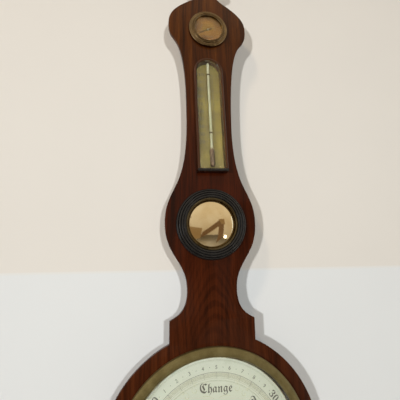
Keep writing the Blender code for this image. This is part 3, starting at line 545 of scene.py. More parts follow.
def bold_black_letter(text):
    upper, lower = 0x1D56C, 0x1D586
    return "".join(chr(upper + ord(c) - 65) if c.isupper() else chr(lower + ord(c) - 97) if c.islower() else c
                   for c in text)


def bold_digits(text):
    return "".join(chr(0x1D7CE + ord(c) - 48) if c.isdigit() else c for c in text)


def italic(text):
    upper, lower = 0x1D434, 0x1D44E
    letters = {"h": "ℎ"}
    return "".join(letters.get(c) or (chr(upper + ord(c) - 65) if c.isupper() else chr(lower + ord(c) - 97)
                                      if c.islower() else c) for c in text)


def add_text(shape, text, size, matrix, resolution=3, stretch=1.0):
    """Letters with the middle of their baseline at the matrix's origin, reading along its X."""
    curve = bpy.data.curves.new("letters", "FONT")
    curve.body = text
    curve.size = size
    curve.align_x = "CENTER"
    curve.resolution_u = resolution
    curve.extrude = MARK_T / 2
    holder = linked("letters", curve)
    bpy.context.view_layer.update()
    mesh = bpy.data.meshes.new_from_object(holder.evaluated_get(bpy.context.evaluated_depsgraph_get()))
    mesh.transform(matrix @ Matrix.Translation((0, 0, MARK_T / 2)) @ Matrix.Diagonal((stretch, 1, 1, 1)))
    shape.from_mesh(mesh)
    bpy.data.meshes.remove(mesh)
    bpy.data.objects.remove(holder, do_unlink=True)


def dial_frame(angle, radius, forward, z_up=0.0):
    """A frame on a dial, at a clockwise angle from its top: X along the arc, Y outwards."""
    turn = turned(angle, "Y")
    return (Matrix.Translation(on_case(0.0, z_up, forward)) @ turn @ Matrix.Translation((0, 0, radius))
            @ turned(90, "X"))


def add_slab(shape, matrix, corners):
    loft(shape, [[shape.verts.new(matrix @ Vector((x, y, h))) for x, y in corners] for h in (0.0, MARK_T)])


def add_bar(shape, matrix, width, length):
    """A small bar in the matrix's XY plane, centred across and running along +Y."""
    corners = [(-width / 2, 0), (width / 2, 0), (width / 2, length), (-width / 2, length)]
    add_slab(shape, matrix, corners)


def add_ring(shape, radius, width, forward, z_up=0.0, steps=180):
    low, high = forward, forward + MARK_T
    profile = [(radius + width / 2, high), (radius + width / 2, low), (radius - width / 2, low),
               (radius - width / 2, high)]
    revolve(shape, profile, facing(0.0, z_up), steps, True)


def add_stroke(shape, points, widths, matrix):
    """A pen stroke through (x, y) points in the matrix's plane, with a width at each."""
    sides = ([], [])
    for i, (x, y) in enumerate(points):
        before, after = points[max(0, i - 1)], points[min(len(points) - 1, i + 1)]
        along = Vector((after[0] - before[0], after[1] - before[1])).normalized()
        off = Vector((-along.y, along.x)) * widths[i] / 2
        for side, sign in zip(sides, (1, -1)):
            side.append((x + sign * off.x, y + sign * off.y))
    for i in range(len(points) - 1):
        quad = [sides[0][i], sides[0][i + 1], sides[1][i + 1], sides[1][i]]
        add_slab(shape, matrix, quad)


def engrave(name, shape, ink, slot="silvered_brass"):
    fit(as_object(name, shape, ink, 30.0), slot)


def curl(reach, start_angle, turns=1.1, steps=22):
    """The points of a scroll that unwinds from its eye."""
    points = []
    for k in range(steps + 1):
        t = k / steps
        a = start_angle + 2 * pi * turns * t
        r = reach * (0.12 + 0.88 * t ** 1.5)
        points.append((r * cos(a), r * sin(a)))
    return points


# The case

def bezier(start, first, second, end, steps):
    """Points along a cubic curve, without its last one."""
    found = []
    for i in range(steps):
        t = i / steps
        weights = ((1 - t) ** 3, 3 * t * (1 - t) ** 2, 3 * t * t * (1 - t), t ** 3)
        knots = (start, first, second, end)
        found.append(tuple(sum(w * k[axis] for w, k in zip(weights, knots)) for axis in (0, 1)))
    return found


def arc(radius, start, end, steps, centre=(0.0, 0.0)):
    angles = [radians(start + (end - start) * k / steps) for k in range(steps + 1)]
    return [(centre[0] + radius * sin(a), centre[1] + radius * cos(a)) for a in angles]


def right_side(inset, tuck):
    """The case's right edge, tip to foot, drawn in by an inset all round and more at the head by a tuck.

    The same curves as the CAD case.
    """
    body_r = 0.159 - inset
    neck, bulge, head, shoulder = (half - inset for half in (0.0385, 0.0733, 0.0705 - tuck, 0.065))
    onion, onion_neck, foot_neck, foot = (half - inset for half in (0.029, 0.0145, 0.046, 0.056))
    body_angle = degrees(asin(shoulder / body_r))
    slope = (0.036 - 0.6 * inset, 0.727 - 0.8 * inset)
    corner = (shoulder, 0.177 - inset)
    low_corner = (shoulder, -0.185 + inset)
    tip, bottom = (0.0, 0.803 - 1.5 * inset), (0.0, -0.270 + inset)
    points = bezier(tip, (0.2 * onion, 0.786 - inset), (onion, 0.783), (onion, 0.769), 21)
    points += bezier((onion, 0.769), (onion, 0.759), (onion_neck, 0.758), (onion_neck, 0.749), 15)
    points += bezier((onion_neck, 0.749), (onion_neck, 0.739), (slope[0] - 0.008, slope[1] + 0.005), slope,
                     15)
    points += bezier(slope, (slope[0] + 0.016, slope[1] - 0.011), (head, 0.704), (head, 0.680 + tuck), 24)
    points += bezier((head, 0.680 + tuck), (head, 0.6262 + 1.6 * tuck), (neck, 0.6858 + tuck),
                     (neck, 0.490), 42)
    points += bezier((neck, 0.490), (neck, 0.368), (bulge, 0.3807), (bulge, 0.322), 36)
    points += bezier((bulge, 0.322), (bulge, 0.2704), (neck, 0.263), (neck, 0.220), 27)
    points += bezier((neck, 0.220), (neck, 0.187), (shoulder - 0.009, corner[1] + 0.0053), corner, 24)
    points.append(corner)
    points += arc(body_r, body_angle, 180.0 - body_angle, 102)
    points += bezier(low_corner, (shoulder - 0.009, -0.188 + inset), (foot_neck, -0.191),
                     (foot_neck, -0.199), 18)
    points += bezier((foot_neck, -0.199), (foot_neck, -0.207), (foot, -0.210), (foot, -0.224), 18)
    points += bezier((foot, -0.224), (foot, -0.251), (foot / 2, bottom[1] + 0.009), bottom, 30)
    points.append(bottom)
    return points


def case_outline(inset, tuck=0.0):
    right = right_side(inset, tuck)
    whole = right + [(-x, z) for x, z in reversed(right[1:-1])]
    return [(x, z + DIAL_Z) for x, z in whole]


def make_case():
    """A skin over the CAD case: polished face with an eased arris, straight edge, and the splayed sides."""
    proud = 0.00015
    shape = bmesh.new()
    level_slot = [(-0.022, LEVEL_Z - 0.0042), (0.022, LEVEL_Z - 0.0042), (0.022, LEVEL_Z + 0.0042),
                  (-0.022, LEVEL_Z + 0.0042)]
    loops = [case_outline(0.0006), circle(0.1304), [(x, DIAL_Z + z) for x, z in level_slot]]
    rows = plate_with_holes(shape, loops, FRONT_Y)
    edge = rows[0]
    rings = [(0.00022, 0.00010), (0.00003, 0.00030), (-proud, 0.0007), (-proud, EDGE_T)]
    for inset, depth in rings:
        ring = [shape.verts.new((x, FRONT_Y + depth, z)) for x, z in case_outline(inset)]
        bridge_rows(shape, edge, ring)
        edge = ring
    splay = 6
    for k in range(1, splay + 1):
        t = k / splay
        y = FRONT_Y + EDGE_T + t * (-0.0002 - FRONT_Y - EDGE_T)
        ring = [shape.verts.new((x, y, z)) for x, z in case_outline(-proud + t * BACK_INSET, t * HEAD_TUCK)]
        bridge_rows(shape, edge, ring)
        edge = ring
    inner = [shape.verts.new((x, -0.0002, z)) for x, z in case_outline(BACK_INSET + 0.0004, HEAD_TUCK)]
    bridge_rows(shape, edge, inner)
    for hole, depth in zip(rows[1:], (0.0047, 0.0094)):
        floor = [shape.verts.new((v.co.x, FRONT_Y + depth, v.co.z)) for v in hole]
        bridge_rows(shape, hole, floor)
    fit(as_object("case_skin", shape, ROSEWOOD, 30.0), "rosewood", "case_veneer")


# The dial

def make_dial():
    """The silvered plate and everything engraved on it."""
    sink = -DIAL_SINK
    plate = lathe("dial_face", [
        (0.1300, sink), (0.1300, sink - 0.0015), (0.0035, sink - 0.0015), (0.0035, sink),
    ], SILVERED, ease=0.00015, steps=160)
    fit(plate, "silvered_brass", "dial_plate")
    black, grey, faint = bmesh.new(), bmesh.new(), bmesh.new()

    def at(angle, radius):
        return dial_frame(angle + DIAL_TURN, radius, sink)

    # The wide black ring at 126.8 mm is a painted shadow in the gap between the plate's bright rim and the
    # bezel; the thin ring at 104 mm is an engraved line.
    black_rings_and_gap_shadow = ((0.1268, 0.0032), (0.1040, 0.0005))
    grey_rings = ((0.1205, 0.00035), (0.1193, 0.0002), (0.1028, 0.0002), (0.0932, 0.0004), (0.0922, 0.0002),
                  (0.0300, 0.0003), (0.0290, 0.0002))
    for target, rings in ((black, black_rings_and_gap_shadow), (grey, grey_rings)):
        for radius, width in rings:
            add_ring(target, radius, width, sink)
    for k in range(151):
        angle = (28.0 + k * 0.02 - TOP_READING) * 10 * DEGREES_PER_TENTH
        if k % 5 == 0:
            add_bar(black, at(angle, 0.0960), 0.00034, 0.0078)
        else:
            add_bar(grey, at(angle, 0.0975), 0.00022, 0.0052)
        if k < 150:
            for share in (0.2, 0.4, 0.6, 0.8):
                add_bar(grey, at(angle + share * 0.2 * DEGREES_PER_TENTH, 0.0975), 0.00030, 0.0052)
    add_ring(grey, 0.0960, 0.00028, sink)
    for tenth in range(31):
        angle = (tenth - 15) * DEGREES_PER_TENTH
        digit = tenth % 10
        if digit:
            add_text(black, str(digit), 0.0074, at(angle, 0.1083))
        else:
            add_text(black, bold_digits(str(28 + tenth // 10)), 0.0140, at(angle, 0.1068), 4)
        if tenth < 30:
            add_bar(black, at(angle + 0.5 * DEGREES_PER_TENTH, 0.1103), 0.0009, 0.0010)
    words = ((0, "Change", 0.0168), (47.0, "Fair", 0.0168), (93.5, "Set Fair", 0.0150),
             (135.5, "Very Dry", 0.0140),
             (-47.5, "Rain", 0.0168), (-93.5, "Much Rain", 0.0140), (-135.5, "Stormy", 0.0150))
    for angle, word, size in words:
        place = at(angle, 0.0772)
        add_text(black, bold_black_letter(word), size, place, 5, 0.95)
        swing = 0.0055 + 0.0029 * len(word)
        for side in (-1, 1):
            for reach, low, first_angle in ((0.0058, 0.0040, 0.4), (0.0040, 0.0110, 2.0)):
                points = [(side * (swing + 0.0075 + x), low + y) for x, y in curl(reach, first_angle)]
                widths = [0.00022 + 0.00040 * sin(pi * k / (len(points) - 1)) for k in range(len(points))]
                add_stroke(faint, points, widths, place)
            sweep = [(side * (0.003 + 0.020 * t), -0.0075 + 0.0035 * sin(2.6 * t))
                     for t in [k / 16 for k in range(17)]]
            add_stroke(faint, sweep, [0.0002 + 0.0004 * sin(pi * k / 16) for k in range(17)], place)
    make_rose(grey, faint, sink)
    engrave("dial_lettering_and_gap_shadow", black, INK_AND_GAP_SHADOW)
    engrave("dial_divisions", grey, GREY_INK)
    engrave("dial_flourishes", faint, FAINT_INK)
    for angle in (60, 180, 300):
        add_screw(f"dial_screw_{angle}", dial_frame(angle, 0.1215, sink), 0.0016, 0.0006, SILVERED,
                  "silvered_brass")


def make_rose(grey, faint, over):
    """A plain engraved star at the dial's middle."""
    for k in range(16):
        long = k % 2 == 0
        tip = 0.0265 if long else 0.0180
        width = 0.0022 if long else 0.0014
        place = dial_frame(k * 22.5, 0.0, over)
        for side in (-1, 1):
            outline = [(0, 0.0062), (side * width, 0.0100), (0, tip)]
            add_stroke(grey if side > 0 else faint, outline, [0.00025] * 3, place)


def add_screw(name, matrix, radius, height, material=BRASS, slot="lacquered_brass", body="case"):
    """A screw with a domed, slotted head whose Z axis is the matrix's."""
    shape = bmesh.new()
    steps = 28
    slot_half, slot_depth = radius * 0.13, height * 0.7
    angle = random.uniform(0, pi)
    profile = [(radius, 0.0), (radius, height * 0.45), (radius * 0.85, height * 0.8),
               (radius * 0.5, height * 0.97), (0.0, height)]
    profile = [(0.0, -height * 0.4), (radius, -height * 0.4)] + profile
    revolve(shape, profile, Matrix.Identity(4), steps, False)
    head = as_object(name, shape, material)
    cutter_shape = bmesh.new()
    bmesh.ops.create_cube(cutter_shape, size=1.0, matrix=Matrix.Rotation(angle, 4, "Z")
                          @ Matrix.Translation((0, 0, height * 1.2))
                          @ Matrix.Diagonal((radius * 3, slot_half * 2, 2 * (slot_depth + height * 0.2), 1)))
    cutter = as_object(name + "_slot", cutter_shape, material)
    step = head.modifiers.new("slot", "BOOLEAN")
    step.operation = "DIFFERENCE"
    step.solver = "EXACT"
    step.object = cutter
    bpy.context.view_layer.update()
    mesh = bpy.data.meshes.new_from_object(head.evaluated_get(bpy.context.evaluated_depsgraph_get()))
    head.modifiers.clear()
    head.data = mesh
    bpy.data.objects.remove(cutter, do_unlink=True)
    mesh.transform(matrix)
    fit(head, slot, body=body)


def make_bezel():
    profile = mm((140.5, 5.6), (140.5, GAP_MM), (131.5, GAP_MM), (131.5, 4.9), (127, 6.2), (127, 7.2),
                 (128.1, 9.8), (130, 11), (133, 11), (137.2, 9.6), (139.8, 7.4), (140.3, 6.6))
    fit(lathe("bezel_ring", profile, DIAL_BRASS, ease=0.0008, steps=192), "lacquered_brass", "bezel")
    fit(lathe("dial_glass", dome(0.1311, 0.0135, 0.0022, 0.0020, 22), GLASS, ease=0, steps=160, closed=False),
        "glass", "bezel_glass")
    # The bright raised edge of the plate. The dark gap between it and the bezel is a painted shadow ring,
    # drawn on the plate with the dial's lettering.
    fit(lathe("dial_rim", mm((125, -3), (125, -1.9), (124.3, -1.4), (123.6, -1.9), (123.6, -3)), POLISHED,
              ease=0.0002, steps=160), "lacquered_brass")


# Thermometer

def arch_path(half, low, arch_centre, steps=40):
    """Up the left side, round the head and down the right: (x, z_up) points with outward directions."""
    path = [((-half, low), (-1.0, 0.0)), ((-half, (low + arch_centre) / 2), (-1.0, 0.0))]
    for k in range(steps + 1):
        a = radians(-90 + 180 * k / steps)
        path.append(((half * sin(a), arch_centre + half * cos(a)), (sin(a), cos(a))))
    path += [((half, (low + arch_centre) / 2), (1.0, 0.0)), ((half, low), (1.0, 0.0))]
    return path


def sweep(name, path, section, material):
    """A moulding: a section of (outward, forward) points carried along a path, with closed ends."""
    shape = bmesh.new()
    loft(shape, [[shape.verts.new(on_case(x + nx * u, z + nz * u, h)) for u, h in section] for (x, z),
                 (nx, nz) in path])
    shape.transform(TILT)
    return as_object(name, shape, material)


def make_thermometer():
    half, low, arch_z = 0.025, 0.4083, 0.580
    section = rounded(mm((0, GAP_MM), (0, 12.8), (-1.2, 14), (-2.8, 14), (-4, 13), (-4, GAP_MM)), 0.0006)
    fit(sweep("thermometer_case", arch_path(half, low, arch_z), section, BOX_WOOD), "rosewood",
        "thermometer_frame")
    sill_profile = rounded(mm((-0.2, GAP_MM), (-0.2, 12.8), (1, 14.1), (3.6, 14.1), (4.2, 13.4),
                              (4.2, GAP_MM)), 0.0005)
    shape = bmesh.new()
    rows = [[shape.verts.new(on_case(x, 0.4040 + u, h)) for u, h in sill_profile]
            for x in (-0.0252, -0.0248, 0.0248, 0.0252)]
    loft(shape, rows)
    shape.transform(TILT)
    # The rail is near-black all over, in the same wood as the mirror frame.
    fit(as_object("thermometer_bottom_rail", shape, NEAR_BLACK_WOOD), "ebonised", "thermometer_sill")

    inner = 0.0207
    outline = [(x, DIAL_Z + z) for x, z in arc(inner, -90, 90, 40, (0.0, arch_z))
               + [(inner, 0.4083), (-inner, 0.4083)]]
    plate = bmesh.new()
    prism(plate, outline, FRONT_Y - GAP, 0.0012)
    fit(as_object("thermometer_scale", plate, YELLOWED, 25.0), "silvered_brass", "thermometer_plate")
    pane = bmesh.new()
    prism(pane, outline, FRONT_Y - 0.0112, 0.0014)
    fit(as_object("thermometer_pane", pane, GLASS, 25.0), "glass", "thermometer_window")

    place = TILT @ facing(0.0, 0.0, 0.0015)
    marks, bold = bmesh.new(), bmesh.new()
    step = 0.00274
    bottom_z, count = 0.4568, 45
    for k in range(count + 1):
        z = bottom_z + k * step
        length = 0.0050 if k % 5 == 0 else 0.0034
        for side in (-1, 1):
            start = 0.0046 + 0.0015 * side
            add_bar(marks, place @ Matrix.Translation((side * start + (0.0 if side > 0 else -length), z, 0))
                    @ turned(-90, "Z"), 0.00045 if k % 5 else 0.0008, length)
        if k % 5 == 0:
            add_text(bold, bold_digits(str(20 + 2 * k)), 0.0086,
                     place @ Matrix.Translation((-0.0140, z - 0.0030, 0)))
    for z, word in ((0.5480, "Blood Heat"), (0.5745, "Fever"), (0.5340, "Summer"), (0.5060, "Temp"),
                    (0.4732, "Freezing")):
        add_text(bold, italic(word), 0.0052, place @ Matrix.Translation((0.0138, z, 0)), 2, 0.68)
    for x in (-0.0045, 0.0075):
        add_bar(marks, place @ Matrix.Translation((x, bottom_z, 0)), 0.0002, count * step)
    engrave("thermometer_divisions", marks, BROWN_INK)
    engrave("thermometer_figures", bold, BROWN_INK)
    for label, z in (("top", 0.5935), ("bottom", 0.4145)):
        for x in (-0.0145, 0.0145) if label == "bottom" else (-0.0110, 0.0125):
            side = "left" if x < 0 else "right"
            add_screw(f"scale_pin_{label}_{side}", place @ Matrix.Translation((x, z, 0)), 0.0009, 0.0005)

    axis = TILT @ Matrix.Translation(on_case(0.0004, 0.0, 0.0059))
    stem = mm((0, 413.2), (2.1, 413.3), (3.3, 414.9), (3.3, 439.5), (0.8, 443.5), (0.8, 598.5), (2.3, 598.5),
              (2.3, 444), (4, 440), (4, 414.5), (2.2, 412.5), (0, 412.5))
    fit(lathe("thermometer_stem", stem, ENAMEL, ease=0.0010, steps=40, closed=False, matrix=axis), "glass",
        "thermometer_tube")
    fill = mm((0, 500), (0.6, 500), (0.6, 443), (3, 439.1), (3, 415.4), (1.8, 413.7), (0, 413.7))
    fit(lathe("thermometer_quicksilver", fill, MERCURY, ease=0.0006, steps=32, closed=False, matrix=axis),
        "mercury", "thermometer_mercury")
    for label, z in (("upper", 0.577), ("lower", 0.471)):
        band = [(0.0031, z + 0.0009), (0.0031, z - 0.0009), (0.0025, z - 0.0009), (0.0025, z + 0.0009)]
        fit(lathe(f"tube_clip_{label}", band, BRONZED, steps=40, matrix=axis), "lacquered_brass",
            f"thermometer_clip_{label}")


# Hygrometer

def make_hygrometer():
    z_up = HYGROMETER_Z
    profile = mm((35.2, 4), (35.2, GAP_MM), (28.5, GAP_MM), (28.5, 6.2), (25.2, 6.6), (25.2, 7.6),
                 (25.7, 8.3), (26.4, 8.6), (27, 8.2), (27.4, 7.1), (28, 6.9), (28.5, 7.7), (29.1, 8.2),
                 (29.7, 7.6), (30.2, 6.2), (31, 5.7), (32.2, 5.7), (32.8, 6), (33.4, 6.2), (34, 6),
                 (34.6, 5.4), (35, 4.6))
    fit(lathe("hygrometer_rim", profile, BRONZED, z_up=z_up, ease=0.0003), "lacquered_brass",
        "hygrometer_bezel")
    cover = mm((0, 5.8), (28.2, 5.8), (28.2, 4.6), (0, 4.6))
    fit(lathe("hygrometer_cover", cover, GLASS, z_up=z_up, ease=0.0001, closed=False), "glass",
        "hygrometer_glass")
    face = mm((28.2, 1.3), (28.2, GAP_MM), (1, GAP_MM), (1, 1.3), (6.2, 1.3), (6.4, 1.1), (6.8, 1.3))
    fit(lathe("hygrometer_face", face, HYGROMETER_FACE, z_up=z_up, ease=0.0001), "lacquered_brass",
        "hygrometer_dial")
    marks = bmesh.new()
    for radius, width in ((0.0245, 0.0003), (0.0198, 0.0002)):
        add_ring(marks, radius, width, 0.0013, z_up, 120)
    for k in range(-12, 13):
        width, length = (0.00018, 0.0030) if k % 2 else (0.00028, 0.0043)
        add_bar(marks, dial_frame(k * 10.0, 0.0200, 0.0013, z_up), width, length)
    for angle, word in ((-70, "Damp"), (70, "Dry")):
        add_text(marks, italic(word), 0.0058, dial_frame(angle, 0.0120, 0.0013, z_up))
    add_text(marks, italic("Hygrometer"), 0.0042, facing(0.0, z_up - 0.0140, 0.0013))
    engrave("hygrometer_engraving", marks, BROWN_INK, "lacquered_brass")
    boss = mm((0, 4.3), (1, 4), (1.7, 3.1), (1.9, 2.8), (1.9, 2.5), (0, 2.5))
    fit(lathe("hygrometer_boss", boss, POLISHED, z_up=z_up, steps=40, closed=False), "lacquered_brass",
        body="hygrometer_hand")


# Mirror

def make_mirror():
    z_up = MIRROR_Z
    outer = mm((56.5, 3), (56.5, GAP_MM), (41.3, GAP_MM), (41.3, 7.8))
    reeds = []
    count, start, end = 3, 0.0418, 0.0525
    pitch = (end - start) / count
    for i in range(count):
        middle = start + (i + 0.5) * pitch
        base = 0.0076 if i < 2 else 0.0070
        for k in range(11):
            a = pi * k / 10
            reeds.append((middle - 0.47 * pitch * cos(a), base + 0.0017 * sin(a)))
    bead = [(0.0540 - 0.0013 * cos(pi * k / 8), 0.0052 + 0.0014 * sin(pi * k / 8)) for k in range(9)]
    rim = [(0.0556, 0.0048), (0.0562, 0.0040)]
    frame_profile = outer + reeds + bead + rim
    fit(lathe("mirror_reeding", frame_profile, NEAR_BLACK_WOOD, z_up=z_up, ease=0, steps=160), "ebonised",
        "mirror_frame")
    slip = mm((41.1, 7.8), (41.1, 2.4), (40.4, 2.4), (38.2, 4.2), (38, 5.2), (38.4, 7), (39.6, 8))
    fit(lathe("mirror_inner_ring", slip, SLIP_BRASS, z_up=z_up, ease=0.0004), "lacquered_brass",
        "mirror_slip")
    silver = dome(MIRROR_GLASS_R, MIRROR_RISE, 0.0003, 0.0018, 24)
    fit(lathe("convex_mirror", silver, MIRROR_SILVER, z_up=z_up, ease=0, closed=False), "mirror",
        "mirror_glass")


# Below the dial

def make_lower_fittings():
    z_up = LEVEL_Z

    def round_ended(radius, half, steps):
        loop = arc(radius, 0, 180, steps, (half, z_up)) + arc(radius, 180, 360, steps, (-half, z_up))
        return [(x, DIAL_Z + z) for x, z in loop]

    outline, inset, slot = round_ended(0.010, 0.027, 24), round_ended(0.0096, 0.027,
            24), round_ended(0.0028, 0.014, 16)
    shape = bmesh.new()
    back = plate_with_holes(shape, [outline, slot], FRONT_Y - GAP)
    front = plate_with_holes(shape, [inset, slot], FRONT_Y - GAP - 0.0014)
    shoulder = [shape.verts.new((x, FRONT_Y - GAP - 0.0010, z)) for x, z in outline]
    bridge_rows(shape, back[0], shoulder)
    bridge_rows(shape, shoulder, front[0])
    bridge_rows(shape, back[1], front[1])
    fit(as_object("level_face", shape, SILVERED, 25.0), "silvered_brass", "level_plate")
    for label, x in (("left", -0.0300), ("right", 0.0300)):
        add_screw(f"level_screw_{label}", facing(x, z_up, 0.0017), 0.0024, 0.0009)
    marks = bmesh.new()
    for x in (-0.0070, 0.0070):
        for side in (-1, 1):
            place = facing(x, z_up) @ Matrix.Translation((0, side * 0.0030 - (0.0028 if side < 0 else 0.0),
                    0.0017))
            add_bar(marks, place, 0.0004, 0.0028)
    engrave("level_marks", marks, INK_AND_GAP_SHADOW)

    knob = mm((0, 13), (2.2, 12.9), (4.4, 12.2), (5.8, 11.1), (6.6, 9.4), (6.6, 8.4), (6.1, 7), (4.6, 6),
              (3.8, 5.4), (3.8, 4.6), (4.2, 4), (4.2, 3.2), (0, 3.2))
    fit(lathe("bone_knob", knob, BONE, z_up=KNOB_Z, ease=0.0005, steps=64, closed=False), "bone", "set_knob",
        body="set_knob")
    collar = mm((6, 1.2), (6, GAP_MM), (2.1, GAP_MM), (2.1, 1.8), (4.8, 1.8))
    fit(lathe("knob_seat", collar, BRASS, z_up=KNOB_Z, ease=0.0003, steps=64), "lacquered_brass",
        "knob_collar")


# Hands

def make_hands():
    cap = mm((0, 5.4), (1.2, 5.3), (2.4, 4.7), (3.1, 3.8), (3.4, 2.9), (0, 2.9))
    fit(lathe("hand_cap_turned", cap, BRASS, steps=48, closed=False), "lacquered_brass", "hand_cap",
        body="pressure_hand")
    for node, width in (("pressure_hand", 0.00022), ("set_hand", 0.00025)):
        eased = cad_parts[node].modifiers.new("eased_edges", "BEVEL")
        eased.width = width
        eased.segments = 2
        eased.limit_method = "ANGLE"


# Thread and mercury columns

def stretched(name, points, radius, material, node, steps=16):
    """A round bar along a run of points, standing in for a CAD node that it hides."""
    shape = bmesh.new()
    rows = []
    for i, point in enumerate(points):
        here = Vector(point)
        along = (Vector(points[min(i + 1, len(points) - 1)]) - Vector(points[max(i - 1, 0)])).normalized()
        side = Vector((0, 1, 0))
        other = along.cross(side)
        ring = [2 * pi * k / steps for k in range(steps)]
        rows.append([shape.verts.new(here + radius * (side * cos(a) + other * sin(a))) for a in ring])
    loft(shape, rows)
    made = as_object(name, shape, material)
    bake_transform(made)
    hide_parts(node)


def straight(first, second, count=16):
    a, b = Vector(first), Vector(second)
    return [a.lerp(b, k / count) for k in range(count + 1)]


def make_moving_lines():
    y = MECHANISM_Y
    for node, x, low, body in (("float_thread", 0.007, -0.0657, "float"),
                               ("counterweight_thread", -0.007, -0.0540, "counterweight")):
        top, bottom = (x, y, DIAL_Z - 0.0008), (x, y, DIAL_Z + low)
        stretched(node + "_line", straight(top, bottom), 0.00022, SILK, node, 8)
    low, high = (0.007, y, DIAL_Z - 0.1297), (0.007, y, DIAL_Z - 0.0880)
    stretched("mercury_short_column", straight(low, high), 0.0025, MERCURY,
              "mercury_short")
    bend = arc(0.006, 270, 90, 24, (0.013, -0.130))
    path = [(x, y, z + DIAL_Z) for x, z in bend]
    tall_low, tall_high = (0.019, y, DIAL_Z - 0.129), (0.019, y, DIAL_Z + 0.679)
    stretched("mercury_tall_column", path + straight(tall_low, tall_high, 60), 0.0025, MERCURY,
              "mercury_column")


# Screws at the back

def make_back_screws():
    """Slotted screws in the hanging plate, hinges, bridge and turn button. Their heads face the wall."""
    def rear(x, z, y):
        return Matrix.Translation((x, y, z)) @ turned(-90, "X")

    for label, z in (("low", -0.0265), ("high", 0.0095)):
        add_screw(f"hanging_screw_{label}", rear(0.0, z, -0.0002), 0.0024, 0.0007)
    for hinge, z in (("upper", 0.035), ("lower", -0.133)):
        for side, end in (("low", -1), ("high", 1)):
            spot = DIAL_Z + z + end * 0.0062
            for body, x in (("case", -0.0572), ("door", -0.0464)):
                add_screw(f"hinge_{hinge}_{body}_screw_{side}", rear(x, spot, -0.0003), 0.0012,
                          0.0003, body=body)
    for label, z in (("low", -0.022), ("high", 0.022)):
        add_screw(f"bridge_screw_{label}", rear(0.0, DIAL_Z + z, -0.0060), 0.0020, 0.0008)
    add_screw("button_screw", rear(0.058, DIAL_Z - 0.049, -0.0004), 0.0026, 0.0004, body="button")
    for k, z in enumerate((0.100, 0.300, 0.500, 0.690)):
        add_screw(f"cover_pin_{k}", rear(0.0120, DIAL_Z + z, -0.0004), 0.0009, 0.0003)


# Carried-over CAD nodes

def paint_nodes():
    looks = {
        ROSEWOOD: ["case_body"],
        DEAL: ["tube_cover", "back_door", "mirror_backing"],
        BRASS: [*(f"bezel_pin_{k}" for k in (1, 2, 3, 4)), "hand_arbor", "thread_wheel", "wheel_bridge",
                "set_hand", "set_pipe",
                "set_wheel", "set_spindle", "set_spindle_wheel", "hanging_plate", "turn_button",
                *(f"hinge_{end}_{part}_leaf" for end in ("upper", "lower") for part in ("case", "door"))],
        SLIP_BRASS: ["hygrometer_hand"],
        BLUED: ["pressure_hand"],
        TUBE_GLASS: ["siphon_tube", "float", "counterweight"],
        SPIRIT: ["level_vial"],
        GLASS: ["level_bubble"],
        SILK: ["set_cord"],
        CORK: ["tube_wedge_upper", "tube_wedge_lower"],
        STRAW: ["hygrometer_beard"],
    }
    for material, names in looks.items():
        for name in names:
            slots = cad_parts[name].data.materials
            slots.clear()
            slots.append(material)


# Camera, room and lights

def make_camera():
    data = bpy.data.cameras.new("camera")
    data.lens = LENS_MM
    data.sensor_width = 36.0
    data.clip_start = 0.01
    made = linked("camera", data)
    columns = (CAMERA_RIGHT, CAMERA_UP, -CAMERA_FORWARD)
    turn = Matrix([[c[row] for c in columns] for row in range(3)]).to_4x4()
    made.matrix_world = Matrix.Translation(CAMERA_AT) @ turn
    bpy.context.scene.camera = made


def stage_plane(name, corners, material):
    shape = bmesh.new()
    shape.faces.new([shape.verts.new(c) for c in corners])
    mesh = bpy.data.meshes.new(name)
    shape.to_mesh(mesh)
    shape.free()
    made = linked(name, mesh)
    mesh.materials.append(material)
    return made


def painted_wall():
    """Pale paint, seen only from its front, with the faint joint of two boards level with the lower neck.
    Below the joint it is paler and cooler as painted light, and across the wall it is darker to the left and
    lighter to the right as painted shade.
    """
    made, tree, shader = new_material("painted_wall", Roughness=0.8)
    place = add(tree, "ShaderNodeTexCoord").outputs["Object"]
    across, _, height = add(tree, "ShaderNodeSeparateXYZ", {0: place}).outputs
    joint = maths(tree, "ADD", height, 0.4578)
    # Painted light: below the joint the paint turns paler and cooler.
    lower_painted_light = ramp(tree, scaled(tree, joint, -200.0, 0.5), (0.0, 0.0), (1.0, 1.0))
    paint = mixed(tree, lower_painted_light, (0.84, 0.785, 0.705), (0.84, 0.840, 0.815))
    line = ramp(tree, maths(tree, "MULTIPLY", maths(tree, "ABSOLUTE", joint), 400.0),
                (0.25, 0.55), (1.0, 0.0))
    paint = mixed(tree, line, paint, (0.86, 0.84, 0.79))
    # Painted shade: the paint darkens towards the left and lightens towards the right.
    wear_and_painted_shade = scaled(tree, across, 0.20, 0.94)
    paint = mixed(tree, 1.0, paint, add(tree, "ShaderNodeCombineXYZ", {0: wear_and_painted_shade, 1: wear_and_painted_shade, 2: wear_and_painted_shade}).outputs[0],
                  "MULTIPLY")
    mottle = noise(tree, place, 3.0, 4.0)
    paint = mixed(tree, 0.12, paint, ramp(tree, mottle, (0.3, 0.75), (0.7, 1.0)), "MULTIPLY")
    drive(tree, shader, Base_Color=paint, Normal=bump(tree, noise(tree, place, 260.0, 3.0), 0.05, 0.0004))
    behind = add(tree, "ShaderNodeNewGeometry").outputs["Backfacing"]
    see_through(tree, shader, behind, (1.0, 1.0, 1.0))
    return made


def glow(name, colour, strength):
    made = bpy.data.materials.new(name)
    made.use_nodes = True
    tree = made.node_tree
    light = add(tree, "ShaderNodeEmission", {"Color": (*colour, 1.0), "Strength": strength})
    tree.links.new(light.outputs[0], tree.nodes["Material Output"].inputs["Surface"])
    return made


